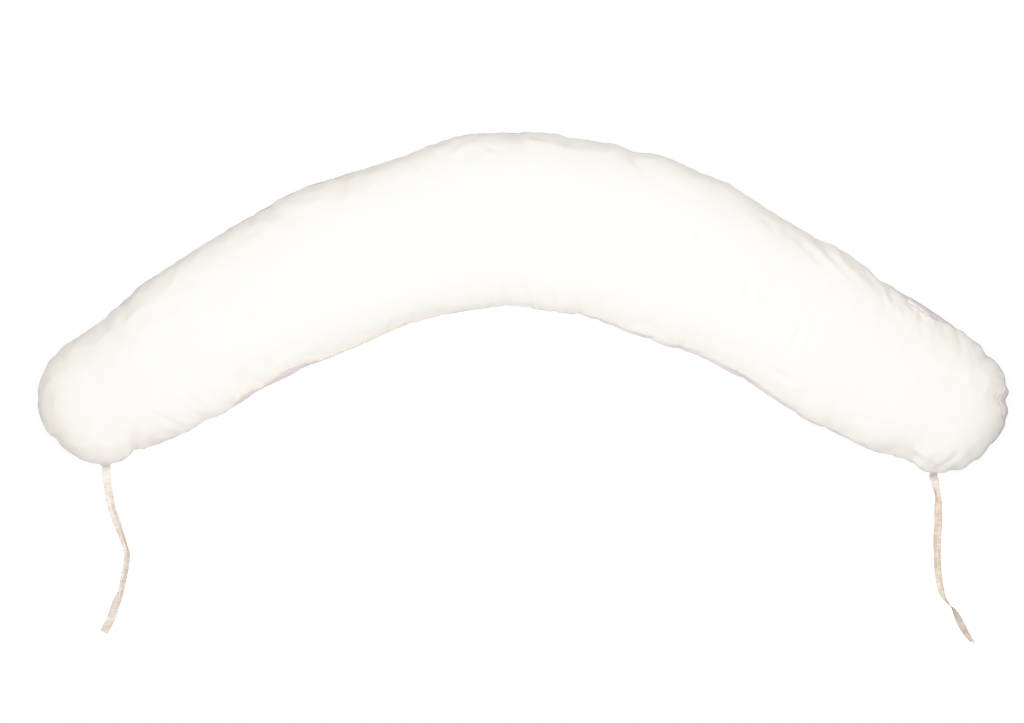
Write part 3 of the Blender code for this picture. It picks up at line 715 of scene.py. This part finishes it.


class Finish:
    """A material: its shader, and the nodes that feed it."""

    def __init__(self, name, values):
        self.material = bpy.data.materials.new(name)
        self.material.use_nodes = True
        self.nodes = self.material.node_tree.nodes
        self.links = self.material.node_tree.links
        for socket, value in values.items():
            self.surface(socket, value)

    def fill(self, socket, value):
        """Give a socket a number or a colour, or link another node's output to it."""
        if isinstance(value, bpy.types.NodeSocket):
            self.links.new(value, socket)
        else:
            socket.default_value = value

    def surface(self, name, value):
        """Give one of the shader's own sockets its value."""
        self.fill(self.nodes["Principled BSDF"].inputs[name], value)

    def node(self, kind, **settings):
        """A new node, with its sockets filled and its own settings made."""
        made = self.nodes.new(kind)
        for name, value in settings.items():
            if name in made.inputs:
                self.fill(made.inputs[name], value)
            else:
                setattr(made, name, value)
        return made

    def math(self, operation, *values):
        """The result of one operation on numbers or outputs."""
        made = self.node("ShaderNodeMath", operation=operation)
        for socket, value in zip(made.inputs, values):
            self.fill(socket, value)
        return made.outputs["Value"]

    def noise(self, places, stretch, detail):
        """Noise laid over places on the cloth and stretched along its threads."""
        stretched = self.node("ShaderNodeMapping", Vector=places, Scale=stretch)
        made = self.node("ShaderNodeTexNoise", Vector=stretched.outputs["Vector"], Scale=1.0, Detail=detail)
        return made.outputs["Fac"]

    def mixed(self, share, first, second):
        """The first colour, with a share of the second."""
        made = self.node("ShaderNodeMix", data_type="RGBA", Factor=share)
        self.fill(made.inputs[6], first)
        self.fill(made.inputs[7], second)
        return made.outputs[2]


def cotton_finish():
    """Ivory cotton: a fine plain weave with slubs, faint crumple, and a back panel of mauve cast, painted
    darker as shade.
    """
    finish = Finish("ivory_cotton", {"Roughness": 0.88, "Sheen Weight": 0.10, "Sheen Roughness": 0.5,
                                     "Specular IOR Level": 0.25})
    panel = finish.node("ShaderNodeUVMap", uv_map="flat_cloth").outputs["UV"]
    apart = finish.node("ShaderNodeSeparateXYZ", Vector=panel)
    warp, weft = (finish.math("SINE", finish.math("MULTIPLY", apart.outputs[axis], math.pi / THREAD_PITCH))
                  for axis in "XY")
    weave = finish.math("MULTIPLY", finish.math("MULTIPLY", warp, weft), WEAVE_SHARE)
    slubs = finish.math("ADD", *[finish.noise(panel, stretch, 2.0) for stretch in SLUB_STRETCHES])

    place = finish.node("ShaderNodeTexCoord").outputs["Object"]
    creases = finish.node("ShaderNodeTexNoise", Vector=place, Scale=30.0, Detail=3.0, Roughness=0.5,
                          Distortion=0.6)
    crease_bump = finish.node("ShaderNodeBump", Height=creases.outputs["Fac"],
                              Strength=0.5, Distance=0.0010)
    weave_bump = finish.node("ShaderNodeBump", Height=finish.math("ADD", weave, slubs),
                             Normal=crease_bump.outputs["Normal"], Strength=0.35, Distance=0.00022)
    finish.surface("Normal", weave_bump.outputs["Normal"])

    cast = finish.node("ShaderNodeTexNoise", Vector=place, Scale=7.0, Detail=3.0)
    colour = finish.mixed(cast.outputs["Fac"], FRONT_COLOUR, FRONT_DEEPER)
    # the back panel's colour carries painted shade as well as its mauve cast
    for marked, deeper in (("back_panel_shaded", BACK_MAUVE_AND_SHADE), ("closing_welt", WELT_COLOUR)):
        share = finish.node("ShaderNodeAttribute", attribute_name=marked)
        colour = finish.mixed(share.outputs["Fac"], colour, deeper)
    finish.surface("Base Color", colour)
    return finish.material


def lay_chart(item, name, places):
    """Chart a mesh by where its points lie on the flat cloth."""
    corners = read_mesh(item.data.loops, "vertex_index", 1, np.int32).ravel()
    chart = item.data.uv_layers.new(name=name)
    chart.data.foreach_set("uv", places[corners].astype(np.float32).ravel())


def chart_cloth(cover, item):
    """Note where each face lies on its panel, and which points are the back panel's or the welt's."""
    _, up = seam_distances(cover)
    # the back panel's share places its mauve cast and its painted shade
    for name, share in (("back_panel_shaded", np.clip(-up / PANEL_BLUR, 0, 1)), ("closing_welt", welt)):
        marks = item.data.attributes.new(name, "FLOAT", "POINT")
        marks.data.foreach_set("value", cover.gather(share).astype(np.float32))
    lay_chart(item, "flat_cloth", cover.gather(flat_cloth))


chart_cloth(cover, pillow)
pillow.data.materials.append(cotton_finish())
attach(pillow, "root")
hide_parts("pillow")


# ------------------------------------------------------------------ the closing stitches
# A row of running stitches in tan thread along the closing welt, sewn through its folded edge
# by hand after the pillow was filled.
STITCH_SPACING = 0.0050
STITCH_LENGTH = 0.0030
STITCH_LEVEL = 0.60 * WELT_WIDTH     # how far up the welt the row runs
UNEVEN_PLACE = 0.0003      # how far a stitch may lie off its place along the row
UNEVEN_LEVEL = 0.0002      # and its two ends off the row
SEWN_WELT = 0.8            # the row runs where the welt is at least this much of its full self
ROW_INSET = 0.003          # and stops this far short of either end of that
THREAD_RADIUS = 0.0005
ARCH, SUNK = 1.3, 0.5      # how far a stitch arches and how deep its ends sit, in thread radii
END_RADIUS = 0.45          # thickness of a stitch's ends, as a share of the thread's
SLOPE_REACH = 0.001        # distance over which the cloth's slope under a stitch is read
STITCH_SIDES = 6
STITCH_RINGS = 7
THREAD_COLOUR = (0.62, 0.46, 0.35, 1)
THREAD_DARKER = 0.82       # how bright its darker strands are beside it


def places_on_cover(around_places, up_places):
    """Places on the cover, given by how far they lie round the seam and up from it."""
    around, up = seam_distances(cover)
    found = []
    for place, height in zip(around_places, up_places):
        spoke = int(np.searchsorted(around[:, 0], place)) - 1
        share = (place - around[spoke, 0]) / (around[spoke + 1, 0] - around[spoke, 0])
        pair = [[np.interp(height, up[number], cover.points[number, :, axis]) for axis in range(3)]
                for number in (spoke, spoke + 1)]
        found.append((1 - share) * np.array(pair[0]) + share * np.array(pair[1]))
    return np.array(found)


def tube_faces(rings, sides, first):
    """Faces round a tube whose rings of points are numbered from first."""
    faces = []
    for here in range(first, first + (rings - 1) * sides, sides):
        after = here + sides
        for corner in range(sides):
            other = (corner + 1) % sides
            faces.append((here + corner, here + other, after + other, after + corner))
    return faces


def make_stitches(name):
    """One mesh of short round threads lying on the welt."""
    around, _ = seam_distances(cover)
    sewn = np.flatnonzero(welt.max(axis=1) > SEWN_WELT)
    first, last = around[sewn[0], 0] + ROW_INSET, around[sewn[-1], 0] - ROW_INSET
    dice = np.random.default_rng(23)
    count = int((last - first) / STITCH_SPACING)
    starts = first + STITCH_SPACING * np.arange(count) + dice.uniform(-UNEVEN_PLACE, UNEVEN_PLACE, count)
    level = STITCH_LEVEL + dice.uniform(-UNEVEN_LEVEL, UNEVEN_LEVEL, (2, count))
    near, far = places_on_cover(starts, level[0]), places_on_cover(starts + STITCH_LENGTH, level[1])
    above = places_on_cover(starts, level[0] + SLOPE_REACH)
    points, faces = [], []
    for start, end, higher in zip(near, far, above):
        along = end - start
        lead = along / np.linalg.norm(along)
        out = np.cross(lead, higher - start)
        out /= np.linalg.norm(out)
        out *= 1.0 if out[2] > 0 else -1.0
        side = np.cross(out, lead)
        number = len(points)
        for ring in range(STITCH_RINGS):
            share = ring / (STITCH_RINGS - 1)
            arch = math.sin(math.pi * share)
            middle = start + share * along + out * THREAD_RADIUS * (ARCH * arch - SUNK)
            radius = THREAD_RADIUS * (END_RADIUS + (1 - END_RADIUS) * arch)
            for corner in range(STITCH_SIDES):
                angle = 2 * math.pi * corner / STITCH_SIDES
                points.append(middle + radius * (math.cos(angle) * out + math.sin(angle) * side))
        faces += tube_faces(STITCH_RINGS, STITCH_SIDES, number)
        faces.append(list(range(number, number + STITCH_SIDES))[::-1])
        faces.append(list(range(len(points) - STITCH_SIDES, len(points))))
    return mesh_object(name, [point.tolist() for point in points], faces)


thread = Finish("tan_thread", {"Roughness": 0.75})
strands = thread.node("ShaderNodeTexNoise", Scale=900.0)
ramp = thread.node("ShaderNodeValToRGB", Fac=strands.outputs["Fac"])
ramp.color_ramp.elements[0].color = [THREAD_DARKER * part for part in THREAD_COLOUR[:3]] + [1]
ramp.color_ramp.elements[1].color = THREAD_COLOUR
thread.surface("Base Color", ramp.outputs["Color"])
closing = make_stitches("closing_stitches")
closing.data.materials.append(thread.material)
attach(closing, "root")


# ------------------------------------------------------------------ the two ties
# Flat ecru cotton tapes, woven with a firm selvedge and fine ribs from edge to edge. Each is
# sewn into the seam near one end of the short edge, drops to the surface that the pillow lies
# on and trails away over it. Their free ends are cut and left raw.
TAPE_WIDTH = 0.0146
TAPE_THICK = 0.0012
TAPE_STEP = 0.0005         # spacing of the tape's cross-sections
TAPE_ACROSS = 20           # faces across the tape
RIB_PITCH = 0.0016         # spacing of the ribs
RIB_HEIGHT = 0.00016
CREASE_RADIUS = 0.0012     # how soft the crease is where the tape folds along its middle
LAP_HINGE = 0.15           # where one edge laps over, from the middle line, as a share of the width
LAP_RADIUS = 0.0016        # how round the turned edge is
LAP_ONSET = 0.6            # turn of that edge, in radians, from which its arc counts in full
TANGENT_REACH = 0.003      # length either way over which the way that the tape runs is read
HEADING_REACH = 0.018      # and over which its edges keep their heading
SELVEDGE_THICK = 0.35      # thickness at the very edge, as a share of the tape's
SELVEDGE_SHAPE = 8         # above 2 the tape keeps its thickness nearer to the edge
SEAM_GAP = 0.0003
BEHIND_TAPE = (-0.5, -0.25, 0.0, 0.25, 0.5)     # where the cloth is felt for, in tape widths
BULGE_HEIGHTS = (1.0, 0.95, 0.9, 0.85, 0.8, 0.7, 0.6)     # and how high, as shares of the seam's height

# A tie hangs from the seam against the cloth, from its seam's x to where its route starts.
# drop says how far down it is, out how far it hangs clear of the cloth and over how far it
# has moved along the edge, as a share of the whole way.
HangPoint = namedtuple("HangPoint", "drop out over")
HANGING = [HangPoint(0.20, 0.0014, 0.2), HangPoint(0.52, 0.0015, 0.5), HangPoint(0.82, 0.0020, 0.8),
           HangPoint(0.96, 0.0048, 0.95)]

# A tie's middle line on the surface. fold is how far its two halves are folded up about the
# middle line, roll turns the whole tape about its middle line, and lap is how far its left
# edge, seen from the seam, is turned over onto the rest, all in degrees.
TapePoint = namedtuple("TapePoint", "x y fold roll lap")
TIE_LEFT = [
    TapePoint(-0.7236, -0.1375, 0, 0, 0), TapePoint(-0.7236, -0.1448, 0, 0, 0),
    TapePoint(-0.7220, -0.1572, 4, 0, 0), TapePoint(-0.7204, -0.1697, 8, 0, 0),
    TapePoint(-0.7183, -0.1821, 10, -4, 0), TapePoint(-0.7158, -0.1946, 18, -4, 0),
    TapePoint(-0.7127, -0.2070, 30, 0, 0), TapePoint(-0.7083, -0.2193, 14, 8, 0),
    TapePoint(-0.7036, -0.2319, 10, 14, 0), TapePoint(-0.6984, -0.2442, 20, 22, 0),
    TapePoint(-0.6934, -0.2568, 28, 28, 0), TapePoint(-0.6892, -0.2691, 34, 28, 20),
    TapePoint(-0.6881, -0.2782, 20, 20, 70), TapePoint(-0.6876, -0.2855, 6, 24, 125),
    TapePoint(-0.6888, -0.2980, 0, 28, 150), TapePoint(-0.6906, -0.3104, 0, 28, 152),
    TapePoint(-0.6932, -0.3229, 0, 28, 152), TapePoint(-0.6956, -0.3353, 4, 26, 150),
    TapePoint(-0.6988, -0.3478, 12, 18, 135), TapePoint(-0.7031, -0.3602, 20, 4, 60),
    TapePoint(-0.7080, -0.3725, 8, 0, 6), TapePoint(-0.7118, -0.3850, 4, 0, 0),
    TapePoint(-0.7167, -0.3974, 0, 0, 0), TapePoint(-0.7230, -0.4099, 0, 0, 0),
    TapePoint(-0.7280, -0.4199, 0, 0, 0),
]
TIE_RIGHT = [
    TapePoint(0.7150, -0.1480, 0, 0, 0), TapePoint(0.7172, -0.1550, 0, 0, 0),
    TapePoint(0.7190, -0.1659, 14, 0, 0), TapePoint(0.7211, -0.1784, 42, -8, 0),
    TapePoint(0.7228, -0.1908, 32, -6, 0), TapePoint(0.7233, -0.2033, 14, 4, 0),
    TapePoint(0.7237, -0.2160, 6, 0, 0), TapePoint(0.7235, -0.2279, 8, 0, 0),
    TapePoint(0.7225, -0.2400, 14, -4, 0), TapePoint(0.7216, -0.2529, 12, 0, 0),
    TapePoint(0.7214, -0.2650, 22, 6, 0), TapePoint(0.7216, -0.2778, 34, 8, 0),
    TapePoint(0.7219, -0.2940, 36, 12, 0), TapePoint(0.7230, -0.3065, 34, 20, 0),
    TapePoint(0.7245, -0.3189, 32, 30, 0), TapePoint(0.7287, -0.3438, 18, 56, 0),
    TapePoint(0.7311, -0.3562, 6, 68, 0), TapePoint(0.7374, -0.3661, 0, 82, 0),
    TapePoint(0.7437, -0.3736, 0, 98, 0), TapePoint(0.7498, -0.3811, 0, 122, 0),
    TapePoint(0.7566, -0.3932, 0, 146, 0), TapePoint(0.7635, -0.4060, 0, 152, 0),
    TapePoint(0.7710, -0.4183, 12, 142, 0), TapePoint(0.7785, -0.4280, 22, 130, 0),
    TapePoint(0.7839, -0.4357, 28, 122, 0),
]
LEFT_SEAM_X, RIGHT_SEAM_X = -0.713, 0.701     # where each tie leaves the seam
SQUARE_CUT = 0.0           # how far each edge of a tie's free end is cut off square
ASKEW_CUT = -0.0065
CUT_REACH = 3              # length of tape that is drawn askew with the cut, beside how far


def unit(vectors):
    """Directions of the vectors."""
    return vectors / np.linalg.norm(vectors, axis=-1, keepdims=True)


def hanging_places(x, seam_height, route_start):
    """A tie's way from the seam at x down against the cloth, to where its route starts."""
    tree = BVHTree.FromObject(pillow, bpy.context.evaluated_depsgraph_get())

    def edge_of_cloth(height):
        sides = (x + share * TAPE_WIDTH for share in BEHIND_TAPE)
        return min(tree.ray_cast(Vector((side, -1.0, height)), Vector((0, 1, 0)))[0].y for side in sides)

    levels = (seam_height - 0.5 * TAPE_THICK, seam_height + 0.5 * TAPE_THICK)
    places = [(x, min(edge_of_cloth(level) for level in levels) - SEAM_GAP, levels[0])]
    bulge = min(edge_of_cloth(share * seam_height) for share in BULGE_HEIGHTS)
    for point in HANGING:
        places.append((x + point.over * (route_start.x - x), bulge - point.out - 0.5 * TAPE_THICK,
                       (1 - point.drop) * seam_height))
    return places


def tape_directions(places, keys, along, laid_from, roll):
    """Which way the tape runs, which way its left edge lies and which way it faces, at every step."""

    def direction(reach, first):
        middle = np.maximum(along, first)
        ahead = smooth_curve(keys, places, np.minimum(middle + reach, keys[-1]))
        behind = smooth_curve(keys, places, np.maximum(middle - reach, 0.0))
        return unit(ahead - behind)

    # where it hangs, the tape keeps the heading that it has when it first lies on the surface
    tangent = direction(TANGENT_REACH, 0.0)
    heading = direction(HEADING_REACH, laid_from + HEADING_REACH)
    side = np.stack([-heading[:, 1], heading[:, 0], 0 * along], 1)
    side = unit(side - (side * tangent).sum(axis=1, keepdims=True) * tangent)
    up = unit(np.cross(tangent, side))
    return (tangent, side * np.cos(roll)[:, None] + up * np.sin(roll)[:, None],
            up * np.cos(roll)[:, None] - side * np.sin(roll)[:, None])


def tape_outline(along, across, bend, lap):
    """The tape's section at every step, as places in its own plane and heights over it."""
    # the crease between the two halves is rounded
    lift = np.sqrt(across ** 2 + CREASE_RADIUS ** 2) - CREASE_RADIUS
    flat = across[None, :] * np.cos(bend)[:, None]
    raised = lift[None, :] * np.sin(bend)[:, None]
    tilt = across / np.sqrt(across ** 2 + CREASE_RADIUS ** 2)
    slope = tilt[None, :] * bend[:, None]

    # the left edge turns over round a hinge, along an arc and then straight
    hinge = -LAP_HINGE * TAPE_WIDTH
    beyond = np.maximum(hinge - across, 0.0)[None, :]
    turned_by = np.minimum(beyond / LAP_RADIUS, lap[:, None])
    straight = np.maximum(beyond - LAP_RADIUS * lap[:, None], 0.0)
    lapped_flat = hinge - LAP_RADIUS * np.sin(turned_by) - straight * np.cos(turned_by)
    lapped_up = LAP_RADIUS * (1 - np.cos(turned_by)) + straight * np.sin(turned_by)
    over = np.clip(lap / LAP_ONSET, 0, 1)[:, None] * (beyond > 0)
    flat = flat * (1 - over) + lapped_flat * over
    raised = raised * (1 - over) + lapped_up * over
    slope = slope * (1 - over) - turned_by * over

    # the tape's two faces lie half its thickness to either side, which the ribs vary
    rib = RIB_HEIGHT * np.abs(np.sin(math.pi * along / RIB_PITCH))[:, None]
    edge = np.sqrt(np.maximum(1 - (np.abs(across) / (0.5 * TAPE_WIDTH)) ** SELVEDGE_SHAPE, 0.0))
    half = np.maximum(0.5 * TAPE_THICK - RIB_HEIGHT + rib, 0.0)
    half = half * (SELVEDGE_THICK + (1 - SELVEDGE_THICK) * edge)[None, :]
    off_flat, off_up = -half * np.sin(slope), half * np.cos(slope)
    return (np.concatenate([flat - off_flat, (flat + off_flat)[:, ::-1]], axis=1),
            np.concatenate([raised - off_up, (raised + off_up)[:, ::-1]], axis=1))


def make_tie(name, end_section, seam_x, route, slant):
    """A woven tape from the seam to its free end. slant is how far its end is cut askew."""
    hanging = hanging_places(seam_x, WIDEST_SHARE * end_section.crown, route[0])
    places = np.array(hanging + [(row.x, row.y, 0.0) for row in route])
    keys = running_lengths(places)
    laid_keys = keys[len(hanging):]
    steps = round(keys[-1] / TAPE_STEP)
    along = keys[-1] * np.arange(steps + 1) / steps
    centre = smooth_curve(keys, places, along)
    centre[:, 2] = np.maximum(centre[:, 2], 0.0)
    bend, roll, lap = (np.radians(smooth_curve(laid_keys, column(route, turn), along))
                       for turn in ("fold", "roll", "lap"))

    # across runs from the right edge to the left
    across = np.linspace(1.0, -1.0, TAPE_ACROSS + 1) * 0.5 * TAPE_WIDTH
    tangent, side, up = tape_directions(places, keys, along, laid_keys[0], roll)
    flat, raised = tape_outline(along, across, bend, np.maximum(lap, 0.0))
    ring = flat[..., None] * side[:, None] + raised[..., None] * up[:, None]
    ring_across = np.concatenate([across, across[::-1]])
    if slant:
        fade = np.clip(1 - (along[-1] - along) / (CUT_REACH * abs(slant)), 0.0, 1.0) ** 2
        shift = fade[:, None] * (ring_across / (0.5 * TAPE_WIDTH)) * slant
        ring = ring + shift[..., None] * tangent[:, None]
    ring[..., 2] -= ring[..., 2].min(axis=1)[:, None]
    points = ring + centre[:, None]
    points[0, :, 1] = places[0, 1]

    corners = ring.shape[1]
    faces = tube_faces(len(along), corners, 0)
    for row in (range(corners), range(len(along) * corners)[-corners:]):
        for number in range(TAPE_ACROSS):
            faces.append((row[number], row[number + 1], row[-number - 2], row[-number - 1]))
    item = mesh_object(name, points.reshape(-1, 3).tolist(), faces)
    places_on_tape = np.stack(np.broadcast_arrays(ring_across, along[:, None]), -1)
    lay_chart(item, "tape_length", places_on_tape.reshape(-1, 2))
    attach(item, "root")
    return item


# The tape's finish follows its length: ribs and uneven picks from edge to edge, warp threads
# along it, in ecru yarns of which some are a deeper tan. The ribs' tops carry painted light, and the tape
# is painted palest where it leaves the seam, painted light that lifts the shade under the pillow's bulge.
YARN_LIGHT = (0.83, 0.77, 0.725, 1)
YARN_TAN = (0.57, 0.43, 0.295, 1)
PAINTED_LIGHT_REACH = 0.125            # how far from the seam the tape is painted paler, as painted light
PALER = 0.55               # and how much less tan that painted light leaves it at the seam
RIB_TOP_PAINTED_LIGHT = 0.22           # painted light: how much paler a rib is painted along its top
SELVEDGE_TAN = 0.26        # and how much more the selvedge has
SELVEDGE_FROM = 0.43       # where the selvedge starts, from the middle line, in tape widths
WARP_PITCH = 0.0009        # spacing of the threads along the tape
WARP_HEIGHT = 0.4          # their height beside that of the uneven yarns
LEFT_TAN, RIGHT_TAN = 0.46, 0.68     # how much tan each tie has on the whole

# The uneven yarns: how fast they change across the tape and along it, how finely, and how
# strongly their tan shows.
Yarns = namedtuple("Yarns", "across along detail tan")
YARNS = [Yarns(60.0, 460.0, 2.0, 1.35), Yarns(800.0, 36.0, 2.0, 1.1), Yarns(90.0, 70.0, 1.0, 1.0)]


def tape_finish(name, tan_share):
    """Ecru tape: firm cross ribs with painted light on their tops, streaks of tan yarn along and across, a
    denser selvedge, and painted light near the seam.
    """
    finish = Finish(name, {"Roughness": 0.85, "Specular IOR Level": 0.25, "Sheen Weight": 0.10})
    place = finish.node("ShaderNodeUVMap", uv_map="tape_length").outputs["UV"]
    apart = finish.node("ShaderNodeSeparateXYZ", Vector=place)
    across, along = apart.outputs["X"], apart.outputs["Y"]
    picks, warp, patches = (
        finish.math("SUBTRACT", finish.noise(place, (yarns.across, yarns.along, 1.0), yarns.detail), 0.5)
        for yarns in YARNS)
    # painted light: the ribs' tops are painted paler, in step with the ribs of the tape's shape
    rib = finish.math("ABSOLUTE", finish.math("SINE", finish.math("MULTIPLY", along, math.pi / RIB_PITCH)))
    selvedge = finish.math("GREATER_THAN", finish.math("ABSOLUTE", across), SELVEDGE_FROM * TAPE_WIDTH)
    # painted light near the seam, lifting the shade under the pillow's bulge
    painted_light_near_seam = finish.math("MAXIMUM", finish.math("SUBTRACT", PAINTED_LIGHT_REACH, along), 0.0)
    tan = tan_share
    # the rib and seam terms are painted light; the yarn and selvedge terms are the tape's own colour
    for part, strength in zip((picks, warp, patches, rib, selvedge, painted_light_near_seam),
                              (*column(YARNS, "tan").tolist(), -RIB_TOP_PAINTED_LIGHT, SELVEDGE_TAN, -PALER / PAINTED_LIGHT_REACH)):
        tan = finish.math("ADD", finish.math("MULTIPLY", part, strength), tan)
    limited = finish.node("ShaderNodeClamp", Value=tan).outputs["Result"]
    finish.surface("Base Color", finish.mixed(limited, YARN_LIGHT, YARN_TAN))

    threads = finish.math("SINE", finish.math("MULTIPLY", across, 2 * math.pi / WARP_PITCH))
    height = finish.math("ADD", finish.math("MULTIPLY", threads, WARP_HEIGHT),
                         finish.math("ADD", warp, picks))
    bump = finish.node("ShaderNodeBump", Height=height, Strength=0.5, Distance=0.0002)
    finish.surface("Normal", bump.outputs["Normal"])
    return finish.material


left_tie = make_tie("left_tape", SECTIONS[0], LEFT_SEAM_X, TIE_LEFT, SQUARE_CUT)
right_tie = make_tie("right_tape", SECTIONS[-1], RIGHT_SEAM_X, TIE_RIGHT, ASKEW_CUT)
left_tie.data.materials.append(tape_finish("ecru_tape", LEFT_TAN))
right_tie.data.materials.append(tape_finish("deeper_ecru_tape", RIGHT_TAN))
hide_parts("tie_left")
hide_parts("tie_right")


# ------------------------------------------------------------------ the floor and the light
# A seamless white studio floor that glows faintly. A soft lamp hangs high over the pillow,
# and weaker ones stand round it, the weakest on the short edge's side.
FLOOR_REACH = 8            # metres of floor to each side
floor_mesh = bpy.data.meshes.new("floor")
floor_corners = [(x * FLOOR_REACH, y * FLOOR_REACH, 0) for x, y in ((-1, -1), (1, -1), (1, 1), (-1, 1))]
floor_mesh.from_pydata(floor_corners, [], [(0, 1, 2, 3)])
floor = put_in_scene("floor", floor_mesh)
white = Finish("white_floor", {"Base Color": (0.5, 0.5, 0.5, 1), "Roughness": 0.9,
                               "Emission Color": (1, 1, 1, 1), "Emission Strength": 0.69})
floor_mesh.materials.append(white.material)

world = bpy.data.worlds.new("studio")
world.use_nodes = True
backdrop = world.node_tree.nodes["Background"]
backdrop.inputs["Color"].default_value = (1, 1, 1, 1)
backdrop.inputs["Strength"].default_value = 0.08
bpy.context.scene.world = world

Lamp = namedtuple("Lamp", "name x y z size power")
LAMPS = [
    Lamp("overhead", 0.0, 0.1, 2.5, 1.2, 77),
    Lamp("short_edge_side", 0.0, -2.2, 1.2, 2.0, 2.7),
    Lamp("left_side", -2.6, 0.1, 1.2, 2.0, 7.5),
    Lamp("right_side", 2.4, 1.5, 1.2, 2.0, 7.4),
]
LIT_PLACE = Vector((0, 0.1, 0))     # where every lamp points
for lamp in LAMPS:
    data = bpy.data.lights.new(lamp.name, "AREA")
    data.size = lamp.size
    data.energy = lamp.power
    item = put_in_scene(lamp.name, data)
    item.location = (lamp.x, lamp.y, lamp.z)
    item.rotation_mode = "QUATERNION"
    item.rotation_quaternion = (LIT_PLACE - item.location).to_track_quat("-Z", "Y")

# The picture's highlights roll off softly, as they do on film. seen is the light that
# reaches the camera and shown the light in the picture.
Tone = namedtuple("Tone", "seen shown")
BRIGHTEST = 1.4            # light at which the picture turns white
TONES = [
    Tone(0.85, 0.850), Tone(0.90, 0.893), Tone(0.95, 0.926), Tone(1.00, 0.950), Tone(1.10, 0.981),
    Tone(1.20, 0.998),
]
view = bpy.context.scene.view_settings
view.view_transform = "Standard"
view.use_curve_mapping = True
view.curve_mapping.white_level = (BRIGHTEST, BRIGHTEST, BRIGHTEST)
combined = view.curve_mapping.curves[3]
for tone in TONES:
    combined.points.new(tone.seen / BRIGHTEST, tone.shown)
for point in combined.points:
    point.handle_type = "VECTOR"
view.curve_mapping.update()
